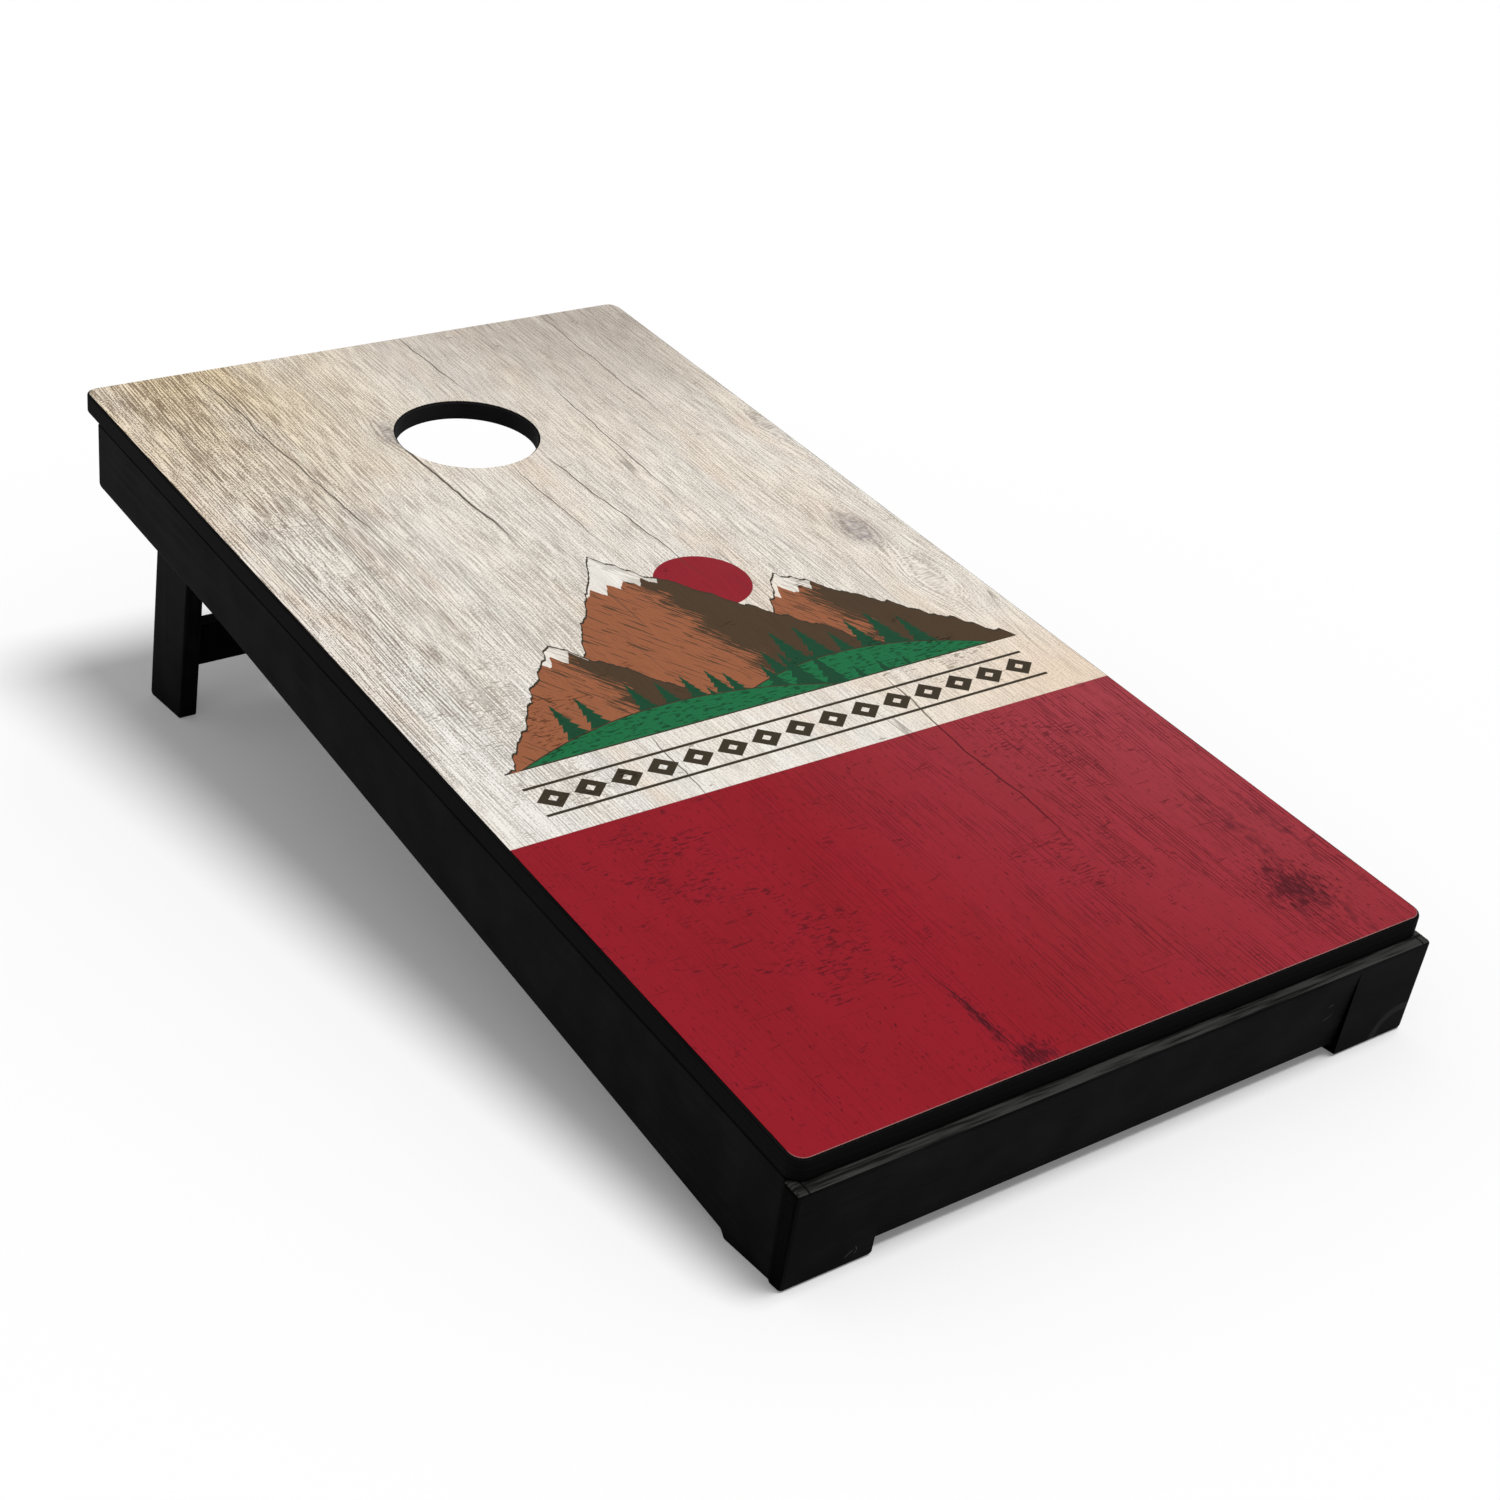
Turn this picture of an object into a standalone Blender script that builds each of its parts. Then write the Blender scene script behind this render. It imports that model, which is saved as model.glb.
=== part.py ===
"""Cornhole board: a printed plywood deck with a bag hole, on a timber frame with folding rear legs.

Everything is laid out in the deck's own axes, x across, y from the deck's front edge to its rear and z up
from the deck's underside, under one empty that tilts the board and stands it on the floor. The legs hang on
a second empty, on the axis of their pivot bolts. All lengths are in metres.
"""

import math

import bmesh
import bpy
from mathutils import Matrix, Vector

# Deck and its printed film
DECK_WIDTH = 0.6096
DECK_LENGTH = 1.2192
DECK_THICKNESS = 0.019
DECK_CORNER_RADIUS = 0.013
DECK_EDGE_ROUND = 0.0015
HOLE_DIAMETER = 0.140
HOLE_FROM_REAR = 0.220
HOLE_EDGE_ROUND = 0.0012
FILM_THICKNESS = 0.0004
FILM_MARGIN = 0.0007

# How the board stands: height of the deck's top face over the floor at its front and rear edges
FRONT_HEIGHT = 0.110
REAR_HEIGHT = 0.308

# Frame boards
RAIL_THICKNESS = 0.019
RAIL_DEPTH = 0.0685
REAR_RAIL_DEPTH = 0.052
RAIL_EDGE_ROUND = 0.0015
RAIL_END_ROUND = 0.005
TAPER_FROM_REAR = 0.320
REAR_OVERHANG = 0.036
SIDE_FOOT_LENGTH = 0.054
SIDE_FOOT_STEP = 0.0055
SIDE_FOOT_ROUND = 0.0025
BRACE_FROM_FRONT = 0.560
BRACE_DEPTH = 0.060

# Front rail: the ledge ahead of the deck, its leaning face, its feet and the relief between them
FRONT_LEDGE = 0.010
FRONT_RAIL_THICKNESS = 0.019
FRONT_RAIL_PROUD = 0.0025
FRONT_RAIL_EDGE_ROUND = 0.003
FRONT_LEAN = 0.0035
FRONT_FOOT_LENGTH = 0.078
RECESS_HEIGHT = 0.0115
RECESS_ROUND = 0.005
RELIEF_DROP = 0.004
RELIEF_FADE = 0.068
RELIEF_DEPTH = 0.005

# Glue blocks and wood screws
BLOCK_SIDE = 0.036
BLOCK_FLAT = 0.015
BLOCK_HEIGHT = 0.048
BLOCK_EDGE_ROUND = 0.001
SIDE_SCREW_DROP = 0.014
END_SCREW_DROP = 0.033
SCREW_OFFSET = 0.0075
SCREW_DIAMETER = 0.004
SCREW_HEAD_OVERHANG = 0.002
SCREW_HEAD_RIM = 0.0003
SCREW_TIP = 0.005
SCREW_GRIP = 0.012

# Folding legs and their crossbar
LEG_WIDTH = 0.070
LEG_THICKNESS = 0.018
LEG_LEAN_DEG = 6.0
LEG_EDGE_ROUND = 0.0015
LEG_FOOT_ROUND = 0.004
LEG_TOP_CLEARANCE = 0.001
LEG_STOP_SHELF = 0.008
LEG_TO_BLOCK = 0.046
CROSSBAR_HEIGHT = 0.048
CROSSBAR_THICKNESS = 0.018
CROSSBAR_FROM_FOOT = 0.074
CROSSBAR_EDGE_ROUND = 0.002
CROSSBAR_SCREW_SPREAD = 0.011
CROSSBAR_SCREW_GRIP = 0.030

# Pivot set: shoulder bolt, threaded insert and washers
SHOULDER_DIAMETER = 0.010
SHOULDER_STEP = 0.001
BOLT_HEAD_OVERHANG = 0.004
BOLT_HEAD_HEIGHT = 0.0055
BOLT_HEAD_RIM = 0.0016
BOLT_SOCKET_WIDTH = 0.006
BOLT_SOCKET_DEPTH = 0.003
INSERT_WALL = 0.0022
INSERT_LENGTH = 0.013
WASHER_RING = 0.0067
WASHER_THICKNESS = 0.0016

# Clearance between pieces that touch, and how round shapes are divided
FIT_GAP = 0.0003
ARC_STEPS = 6
BEND_STEPS = 10
SCREW_STEPS = 12
PIVOT_STEPS = 24
DOME_STEPS = 4
HOLE_STEPS = 72
BEVEL_ANGLE = math.radians(40)
ROUND_REACH = 0.45
CUT_MARGIN = 0.010
WELD_DISTANCE = 0.000005
FLAT_ANGLE = math.radians(0.05)

# Places worked out from the sizes above
TILT = math.asin((REAR_HEIGHT - FRONT_HEIGHT) / DECK_LENGTH)
LIFT = FRONT_HEIGHT - DECK_THICKNESS * math.cos(TILT)
UNDERSIDE = -FIT_GAP
FRONT_FACE = -FRONT_LEDGE
FRONT_RAIL_BACK = FRONT_FACE + FRONT_RAIL_THICKNESS
FRAME_REAR = DECK_LENGTH - REAR_OVERHANG
REAR_RAIL_FACE = FRAME_REAR - RAIL_THICKNESS
RAIL_INNER = DECK_WIDTH / 2 - RAIL_THICKNESS
BETWEEN_RAILS = 2 * (RAIL_INNER - FIT_GAP)
LEG_OUTER = RAIL_INNER - WASHER_THICKNESS - 2 * FIT_GAP
LEG_INNER = LEG_OUTER - LEG_THICKNESS
LEG_LEAN = math.radians(LEG_LEAN_DEG)
PIVOT_DROP = LEG_WIDTH / 2 + LEG_TOP_CLEARANCE
LEG_TOP_REAR = LEG_WIDTH / 2 / math.cos(LEG_LEAN) - PIVOT_DROP * math.tan(LEG_LEAN)
PIVOT_Y = REAR_RAIL_FACE - FIT_GAP - BLOCK_SIDE - LEG_TO_BLOCK - LEG_TOP_REAR
FRONT_REACH = FRONT_FACE * math.cos(TILT) + (FIT_GAP + FRONT_RAIL_EDGE_ROUND) * math.sin(TILT)
REAR_REACH = DECK_LENGTH * math.cos(TILT) - DECK_EDGE_ROUND * math.sin(TILT)

# Axes of a flat outline: on a side view, across the board from the front, and in the deck's plane
SIDE_VIEW = Matrix(((0, 0, 1), (1, 0, 0), (0, 1, 0))).to_4x4()
FRONT_VIEW = Matrix(((1, 0, 0), (0, 0, -1), (0, 1, 0))).to_4x4()
DECK_VIEW = Matrix.Identity(4)


def clear_scene():
    for old in list(bpy.data.objects):
        bpy.data.objects.remove(old, do_unlink=True)


def new_collection(name):
    collection = bpy.data.collections.new(name)
    bpy.context.scene.collection.children.link(collection)
    return collection


def new_empty(name, parent, location, tilt=0.0):
    empty = bpy.data.objects.new(name, None)
    PARTS.objects.link(empty)
    empty.parent = parent
    empty.location = location
    empty.rotation_euler = (tilt, 0, 0)
    return empty


def new_material(name, colour, roughness, metallic=0.0):
    material = bpy.data.materials.new(name)
    material.use_nodes = True
    shader = material.node_tree.nodes["Principled BSDF"]
    shader.inputs["Base Color"].default_value = (*colour, 1.0)
    shader.inputs["Roughness"].default_value = roughness
    shader.inputs["Metallic"].default_value = metallic
    return material


def floor_under(y):
    """Height of the floor below the board's y, in the deck's axes."""
    return -(LIFT + y * math.sin(TILT)) / math.cos(TILT)


def rounded(corners):
    """Outline of a polygon given as (a, b, radius), each corner an arc that is limited by its two sides."""
    outline = []
    for i, (a, b, radius) in enumerate(corners):
        here = Vector((a, b))
        back = Vector(corners[i - 1][:2]) - here
        ahead = Vector(corners[(i + 1) % len(corners)][:2]) - here
        half = back.angle(ahead) / 2
        reach = min(radius / math.tan(half), ROUND_REACH * back.length, ROUND_REACH * ahead.length)
        if radius == 0:
            outline.append(here)
            continue
        start = here + reach * back.normalized()
        end = here + reach * ahead.normalized()
        towards = (back.normalized() + ahead.normalized()).normalized()
        centre = here + towards * (reach / math.cos(half))
        spoke = start - centre
        sweep = math.atan2(spoke.cross(end - centre), spoke.dot(end - centre))
        for k in range(ARC_STEPS + 1):
            turn = Matrix.Rotation(sweep * k / ARC_STEPS, 2)
            outline.append(centre + turn @ spoke)
    return outline


def plate_mesh(name, outline, thickness, view):
    """Closed mesh of a flat outline, half its thickness to either side of the view's plane."""
    curve = bpy.data.curves.new(name, "CURVE")
    curve.dimensions = "2D"
    curve.fill_mode = "BOTH"
    curve.extrude = thickness / 2
    spline = curve.splines.new("POLY")
    spline.points.add(len(outline) - 1)
    for point, (a, b) in zip(spline.points, outline):
        point.co = (a, b, 0, 1)
    spline.use_cyclic_u = True
    drawn = bpy.data.objects.new(name, curve)
    bpy.context.scene.collection.objects.link(drawn)
    mesh = bpy.data.meshes.new_from_object(drawn.evaluated_get(bpy.context.evaluated_depsgraph_get()))
    bpy.data.objects.remove(drawn)
    welded = bmesh.new()
    welded.from_mesh(mesh)
    bmesh.ops.remove_doubles(welded, verts=welded.verts, dist=WELD_DISTANCE)
    bmesh.ops.dissolve_limit(welded, angle_limit=FLAT_ANGLE, verts=welded.verts, edges=welded.edges)
    bmesh.ops.recalc_face_normals(welded, faces=welded.faces)
    welded.to_mesh(mesh)
    welded.free()
    mesh.transform(view)
    mesh.name = name
    return mesh


def turned_mesh(name, profile, closed):
    """Profile of (radius, height) points beside the Z axis, run down its outer side, to be spun about it."""
    mesh = bpy.data.meshes.new(name)
    edges = [(i, i + 1) for i in range(len(profile) - 1)]
    if closed:
        edges.append((len(profile) - 1, 0))
    mesh.from_pydata([(radius, 0, height) for radius, height in profile], edges, [])
    return mesh


def add_object(name, mesh, collection, parent, location, material=None):
    obj = bpy.data.objects.new(name, mesh)
    collection.objects.link(obj)
    obj.parent = parent
    obj.location = location
    if material:
        mesh.materials.append(material)
    if collection is CUTTERS:
        obj.hide_render = True
        obj.display_type = "WIRE"
    return obj


def round_edges(obj, width):
    bevel = obj.modifiers.new("eased edges", "BEVEL")
    bevel.width = width
    bevel.segments = 2
    bevel.limit_method = "ANGLE"
    bevel.angle_limit = BEVEL_ANGLE
    bevel.use_clamp_overlap = False


def cut(target, cutter):
    boolean = target.modifiers.new(cutter.name, "BOOLEAN")
    boolean.operation = "DIFFERENCE"
    boolean.solver = "EXACT"
    boolean.object = cutter


def turn(obj, steps, direction):
    """Spins the profile about its own Z axis and points that axis along a direction."""
    screw = obj.modifiers.new("turned", "SCREW")
    screw.axis = "Z"
    screw.angle = 2 * math.pi
    screw.steps = steps
    screw.render_steps = steps
    screw.use_merge_vertices = True
    screw.merge_threshold = WELD_DISTANCE
    obj.rotation_euler = Vector((0, 0, 1)).rotation_difference(Vector(direction)).to_euler()


def add_plate(name, outline, thickness, view, parent, location, material, edge_round):
    obj = add_object(name, plate_mesh(name, outline, thickness, view), PARTS, parent, location, material)
    if edge_round:
        round_edges(obj, edge_round)
    return obj


def add_turned(name, profile, steps, parent, location, direction, material, closed=False):
    obj = add_object(name, turned_mesh(name, profile, closed), PARTS, parent, location, material)
    turn(obj, steps, direction)
    return obj


def add_turned_cutter(name, profile, steps, parent, location, direction):
    obj = add_object(name, turned_mesh(name, profile, False), CUTTERS, parent, location)
    turn(obj, steps, direction)
    return obj


def screw_profile(length, grow=0.0):
    """Countersunk wood screw hanging below its head, swollen by grow to make the hole that it sits in."""
    shank = SCREW_DIAMETER / 2 + grow
    head = shank + SCREW_HEAD_OVERHANG
    return [
        (0, grow),
        (head, grow),
        (head, -SCREW_HEAD_RIM),
        (shank, -(SCREW_HEAD_RIM + SCREW_HEAD_OVERHANG)),
        (shank, -(length - SCREW_TIP)),
        (0, -(length + grow)),
    ]


def drive_screw(name, head_at, direction, length, pieces, parent, material):
    """A screw whose head lies flush at head_at, and its hole through every piece that it passes."""
    outwards = -Vector(direction)
    screw = add_turned(name, screw_profile(length), SCREW_STEPS, parent, head_at, outwards, material)
    swollen = screw_profile(length, FIT_GAP)
    hole = add_turned_cutter(f"{name}_hole", swollen, SCREW_STEPS, parent, head_at, outwards)
    for piece in pieces:
        cut(piece, hole)
    return screw


def deck_outline(inset):
    half = DECK_WIDTH / 2 - inset
    radius = DECK_CORNER_RADIUS - inset
    return rounded([
        (-half, inset, radius),
        (half, inset, radius),
        (half, DECK_LENGTH - inset, radius),
        (-half, DECK_LENGTH - inset, radius),
    ])


def bore_profile(radius, top, bottom):
    return [(0, top), (radius, top), (radius, bottom), (0, bottom)]


def eased_bore_profile(radius, top, bottom, flare):
    """Bore that opens out by flare at both faces and runs past them."""
    return [
        (0, top + CUT_MARGIN),
        (radius + flare + CUT_MARGIN, top + CUT_MARGIN),
        (radius, top - flare),
        (radius, bottom + flare),
        (radius + flare + CUT_MARGIN, bottom - CUT_MARGIN),
        (0, bottom - CUT_MARGIN),
    ]


def make_deck(board, plywood, film_print):
    hole_y = DECK_LENGTH - HOLE_FROM_REAR
    middle = DECK_THICKNESS / 2
    deck = add_plate("deck_panel", deck_outline(0), DECK_THICKNESS, DECK_VIEW, board, (0, 0, middle),
                     plywood, DECK_EDGE_ROUND)
    bore = eased_bore_profile(HOLE_DIAMETER / 2, middle, -middle, HOLE_EDGE_ROUND)
    cut(deck, add_turned_cutter("bag_hole", bore, HOLE_STEPS, board, (0, hole_y, middle), (0, 0, 1)))
    film_middle = DECK_THICKNESS + FIT_GAP + FILM_THICKNESS / 2
    film = add_plate("deck_film", deck_outline(DECK_EDGE_ROUND + FILM_MARGIN), FILM_THICKNESS, DECK_VIEW,
                     board, (0, 0, film_middle), film_print, 0)
    film_bore = bore_profile(HOLE_DIAMETER / 2 + HOLE_EDGE_ROUND + FILM_MARGIN, CUT_MARGIN, -CUT_MARGIN)
    cut(film, add_turned_cutter("film_hole", film_bore, HOLE_STEPS, board, (0, hole_y, film_middle),
                                (0, 0, 1)))
    return deck


def make_side_rail(name, side, board, paint):
    """Long rail, of even depth behind the taper's start, then deeper to its foot's step on the floor."""
    front = FRONT_RAIL_BACK + FIT_GAP
    step = front + SIDE_FOOT_LENGTH
    outline = rounded([
        (front, UNDERSIDE, 0),
        (FRAME_REAR, UNDERSIDE, 0),
        (FRAME_REAR, -RAIL_DEPTH, RAIL_END_ROUND),
        (DECK_LENGTH - TAPER_FROM_REAR, -RAIL_DEPTH, 0),
        (step + SIDE_FOOT_STEP, floor_under(step) + SIDE_FOOT_STEP, SIDE_FOOT_ROUND),
        (step, floor_under(step), SIDE_FOOT_ROUND),
        (front, floor_under(front), 0),
    ])
    middle = side * (RAIL_INNER + RAIL_THICKNESS / 2)
    return add_plate(name, outline, RAIL_THICKNESS, SIDE_VIEW, board, (middle, 0, 0), paint, RAIL_EDGE_ROUND)


def make_front_rail(board, paint):
    """Front rail whose face leans in towards its feet, recessed underneath and relieved between them."""
    length = DECK_WIDTH + 2 * FRONT_RAIL_PROUD
    foot_face = FRONT_FACE + FRONT_LEAN
    bottom = floor_under(foot_face)
    outline = [
        (FRONT_FACE, UNDERSIDE),
        (FRONT_RAIL_BACK, UNDERSIDE),
        (FRONT_RAIL_BACK, floor_under(FRONT_RAIL_BACK)),
        (foot_face, bottom),
    ]
    rail = add_plate("front_rail", outline, length, SIDE_VIEW, board, (0, 0, 0), paint,
                     FRONT_RAIL_EDGE_ROUND)

    inner = length / 2 - FRONT_FOOT_LENGTH
    skirt = inner + 2 * RECESS_ROUND
    recess = rounded([
        (-skirt, -CUT_MARGIN, 0),
        (skirt, -CUT_MARGIN, 0),
        (skirt, -WELD_DISTANCE, 0),
        (inner, -WELD_DISTANCE, RECESS_ROUND),
        (inner, RECESS_HEIGHT, RECESS_ROUND),
        (-inner, RECESS_HEIGHT, RECESS_ROUND),
        (-inner, -WELD_DISTANCE, RECESS_ROUND),
        (-skirt, -WELD_DISTANCE, 0),
    ])
    depth = 2 * (FRONT_RAIL_THICKNESS + CUT_MARGIN)
    gap = add_object("front_recess", plate_mesh("front_recess", recess, depth, FRONT_VIEW), CUTTERS, board,
                     (0, foot_face, bottom))
    gap.rotation_euler = (-TILT, 0, 0)
    cut(rail, gap)

    def face_at(drop):
        return FRONT_FACE + FRONT_LEAN * drop / (UNDERSIDE - bottom)

    clear = FRONT_FACE - CUT_MARGIN
    full = RELIEF_DROP + RELIEF_FADE
    relief = [
        (clear, UNDERSIDE - RELIEF_DROP),
        (face_at(RELIEF_DROP), UNDERSIDE - RELIEF_DROP),
        (face_at(full) + RELIEF_DEPTH, UNDERSIDE - full),
        (foot_face + RELIEF_DEPTH, bottom),
        (clear, bottom - CUT_MARGIN),
    ]
    cut(rail, add_object("front_relief", plate_mesh("front_relief", relief, 2 * inner, SIDE_VIEW), CUTTERS,
                         board, (0, 0, 0)))
    return rail


def make_cross_member(name, front, depth, board, paint):
    """Board on edge between the two side rails, from front to front plus its thickness."""
    outline = [
        (front, UNDERSIDE),
        (front + RAIL_THICKNESS, UNDERSIDE),
        (front + RAIL_THICKNESS, -depth),
        (front, -depth),
    ]
    return add_plate(name, outline, BETWEEN_RAILS, SIDE_VIEW, board, (0, 0, 0), paint, RAIL_EDGE_ROUND)


def make_block(name, side, face, into, rail, member, deck, board, timber, steel):
    """Glue block in the corner of a side rail and a cross member, with its three screws.

    Its corner stands at the rail's inner side and at the member's face. It runs along y in the sense of into.
    """
    rail_face = RAIL_INNER - FIT_GAP
    corner_y = face + into * FIT_GAP

    def place(from_rail, from_member):
        return side * (rail_face - from_rail), corner_y + into * from_member

    outline = [
        place(0, 0),
        place(BLOCK_SIDE, 0),
        place(BLOCK_SIDE, BLOCK_FLAT),
        place(BLOCK_FLAT, BLOCK_SIDE),
        place(0, BLOCK_SIDE),
    ]
    middle = UNDERSIDE - BLOCK_HEIGHT / 2
    block = add_plate(name, outline, BLOCK_HEIGHT, DECK_VIEW, board, (0, 0, middle), timber,
                      BLOCK_EDGE_ROUND)
    through = BLOCK_SIDE + FIT_GAP + SCREW_GRIP
    centre = BLOCK_SIDE / 2
    side_head = (*place(BLOCK_SIDE, SCREW_OFFSET), UNDERSIDE - SIDE_SCREW_DROP)
    end_head = (*place(SCREW_OFFSET, BLOCK_SIDE), UNDERSIDE - END_SCREW_DROP)
    deck_head = (*place(centre, centre), UNDERSIDE - BLOCK_HEIGHT)
    drive_screw(f"{name}_side_screw", side_head, (side, 0, 0), through, (block, rail), board, steel)
    drive_screw(f"{name}_end_screw", end_head, (0, -into, 0), through, (block, member), board, steel)
    up = BLOCK_HEIGHT + FIT_GAP + SCREW_GRIP
    drive_screw(f"{name}_deck_screw", deck_head, (0, 0, 1), up, (block, deck), board, steel)
    return block


def leg_axes():
    """Unit steps down a leg and across it towards the rear, as (y, z) in the deck's axes."""
    down = Vector((math.sin(LEG_LEAN), -math.cos(LEG_LEAN)))
    across = Vector((math.cos(LEG_LEAN), math.sin(LEG_LEAN)))
    return down, across


def leg_reach(across_by):
    """Length down a leg from its pivot to the floor, along a line across_by behind its centre line."""
    start = across_by * leg_axes()[1]
    drop = -floor_under(PIVOT_Y + start.x) - PIVOT_DROP + start.y
    return drop / (math.cos(LEG_LEAN) - math.sin(LEG_LEAN) * math.tan(TILT))


def make_leg(name, side, pivot, paint):
    """Leg about its pivot: round ahead of the bolt so that it folds, square behind to stop on the deck."""
    down, across = leg_axes()
    half = LEG_WIDTH / 2
    stop = PIVOT_DROP - FIT_GAP
    rear_top = half * across + down * ((half * across.y - stop) / -down.y)
    rear_foot = half * across + leg_reach(half) * down
    front_foot = -half * across + leg_reach(-half) * down
    corners = [
        (*rear_foot, LEG_FOOT_ROUND),
        (*rear_top, LEG_EDGE_ROUND),
        (LEG_STOP_SHELF, stop, 0),
    ]
    bend = math.pi / 2 + LEG_LEAN
    for k in range(BEND_STEPS + 1):
        angle = math.pi / 2 + bend * k / BEND_STEPS
        corners.append((half * math.cos(angle), half * math.sin(angle), 0))
    corners.append((*front_foot, LEG_FOOT_ROUND))
    middle = side * (LEG_INNER + LEG_THICKNESS / 2)
    return add_plate(name, rounded(corners), LEG_THICKNESS, SIDE_VIEW, pivot, (middle, 0, 0), paint,
                     LEG_EDGE_ROUND)


def make_crossbar(pivot, legs, paint, steel):
    """Bar between the legs' inner faces, held by two screws through each leg."""
    down, across = leg_axes()
    centre = (leg_reach(0) - CROSSBAR_FROM_FOOT) * down
    outline = []
    for a, d in ((-1, -1), (1, -1), (1, 1), (-1, 1)):
        outline.append(centre + a * CROSSBAR_THICKNESS / 2 * across + d * CROSSBAR_HEIGHT / 2 * down)
    length = 2 * (LEG_INNER - FIT_GAP)
    bar = add_plate("leg_crossbar", outline, length, SIDE_VIEW, pivot, (0, 0, 0), paint, CROSSBAR_EDGE_ROUND)
    through = LEG_THICKNESS + FIT_GAP + CROSSBAR_SCREW_GRIP
    for side, leg in legs.items():
        hand = "right" if side > 0 else "left"
        for level, along in (("upper", -CROSSBAR_SCREW_SPREAD), ("lower", CROSSBAR_SCREW_SPREAD)):
            head = (side * LEG_OUTER, *(centre + along * down))
            drive_screw(f"crossbar_screw_{hand}_{level}", head, (-side, 0, 0), through, (leg, bar), pivot,
                        steel)
    return bar


def ring_profile(inner, outer, thickness):
    return [(inner, thickness), (outer, thickness), (outer, 0), (inner, 0)]


def make_pivot(side, rail, leg, board, steel, brass, nylon):
    """Shoulder bolt from the inside through washer, leg and spacer into a threaded insert in the rail."""
    hand = "right" if side > 0 else "left"
    inwards = (-side, 0, 0)

    def at(x):
        return (side * x, PIVOT_Y, -PIVOT_DROP)

    shoulder = SHOULDER_DIAMETER / 2
    thread = shoulder - SHOULDER_STEP
    insert = thread + FIT_GAP + INSERT_WALL
    head = shoulder + BOLT_HEAD_OVERHANG
    washer = ring_profile(shoulder + FIT_GAP, shoulder + FIT_GAP + WASHER_RING, WASHER_THICKNESS)
    washer_seat = LEG_INNER - FIT_GAP
    head_seat = washer_seat - WASHER_THICKNESS - FIT_GAP
    shoulder_length = RAIL_INNER - FIT_GAP - head_seat
    bolt_length = shoulder_length + INSERT_LENGTH
    profile = []
    crown = BOLT_HEAD_HEIGHT - BOLT_HEAD_RIM
    for k in range(DOME_STEPS + 1):
        angle = math.pi / 2 * k / DOME_STEPS
        profile.append((head * math.sin(angle), BOLT_HEAD_RIM + crown * math.cos(angle)))
    profile += [
        (head, 0),
        (shoulder, 0),
        (shoulder, -shoulder_length),
        (thread, -shoulder_length),
        (thread, -bolt_length),
        (0, -bolt_length),
    ]
    bolt = add_turned(f"pivot_bolt_{hand}", profile, PIVOT_STEPS, board, at(head_seat), inwards, steel)
    key = bore_profile(BOLT_SOCKET_WIDTH / math.sqrt(3), CUT_MARGIN, -BOLT_SOCKET_DEPTH)
    cut(bolt, add_turned_cutter(f"key_socket_{hand}", key, 6, board, at(head_seat - BOLT_HEAD_HEIGHT),
                                inwards))

    add_turned(f"pivot_washer_{hand}", washer, PIVOT_STEPS, board, at(washer_seat), inwards, steel,
               closed=True)
    add_turned(f"pivot_spacer_{hand}", washer, PIVOT_STEPS, board, at(RAIL_INNER - FIT_GAP), inwards, nylon,
               closed=True)
    insert_end = RAIL_INNER + INSERT_LENGTH
    add_turned(f"pivot_insert_{hand}", ring_profile(thread + FIT_GAP, insert, INSERT_LENGTH), PIVOT_STEPS,
               board, at(insert_end), inwards, brass, closed=True)

    pocket = bore_profile(insert + FIT_GAP, INSERT_LENGTH + CUT_MARGIN, -FIT_GAP)
    cut(rail, add_turned_cutter(f"insert_pocket_{hand}", pocket, PIVOT_STEPS, board, at(insert_end),
                                inwards))
    bore = bore_profile(shoulder + FIT_GAP, LEG_THICKNESS + CUT_MARGIN, -CUT_MARGIN)
    cut(leg, add_turned_cutter(f"leg_bore_{hand}", bore, PIVOT_STEPS, board, at(LEG_OUTER), inwards))


clear_scene()
PARTS = new_collection("cornhole_board")
CUTTERS = new_collection("cutters")

black_paint = new_material("black_satin_paint", (0.010, 0.010, 0.011), 0.45)
black_ply = new_material("black_sealed_plywood", (0.011, 0.011, 0.011), 0.5)
film_print = new_material("printed_vinyl_film", (0.60, 0.55, 0.47), 0.4)
pine = new_material("bare_pine", (0.55, 0.38, 0.21), 0.65)
zinc_steel = new_material("zinc_plated_steel", (0.60, 0.60, 0.58), 0.32, 1.0)
brass = new_material("brass", (0.74, 0.54, 0.22), 0.3, 1.0)
nylon = new_material("black_nylon", (0.02, 0.02, 0.02), 0.55)

board = new_empty("board_tilt", None, (0, -(FRONT_REACH + REAR_REACH) / 2, LIFT), TILT)
leg_pivot = new_empty("leg_pivot_axis", board, (0, PIVOT_Y, -PIVOT_DROP))

deck = make_deck(board, black_ply, film_print)
rails = {
    -1: make_side_rail("side_rail_left", -1, board, black_paint),
    1: make_side_rail("side_rail_right", 1, board, black_paint),
}
front_rail = make_front_rail(board, black_paint)
rear_rail = make_cross_member("rear_rail", REAR_RAIL_FACE, REAR_RAIL_DEPTH, board, black_paint)
brace = make_cross_member("centre_brace", BRACE_FROM_FRONT, BRACE_DEPTH, board, black_paint)

corners = (
    ("corner_block_front", FRONT_RAIL_BACK, 1, front_rail),
    ("corner_block_rear", REAR_RAIL_FACE, -1, rear_rail),
    ("brace_block", BRACE_FROM_FRONT + RAIL_THICKNESS, 1, brace),
)
for place_name, face, into, member in corners:
    for side, hand in ((-1, "left"), (1, "right")):
        make_block(f"{place_name}_{hand}", side, face, into, rails[side], member, deck, board, pine,
                   zinc_steel)

legs = {
    -1: make_leg("leg_left", -1, leg_pivot, black_paint),
    1: make_leg("leg_right", 1, leg_pivot, black_paint),
}
make_crossbar(leg_pivot, legs, black_paint, zinc_steel)
for side in rails:
    make_pivot(side, rails[side], legs[side], board, zinc_steel, brass, nylon)

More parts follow.
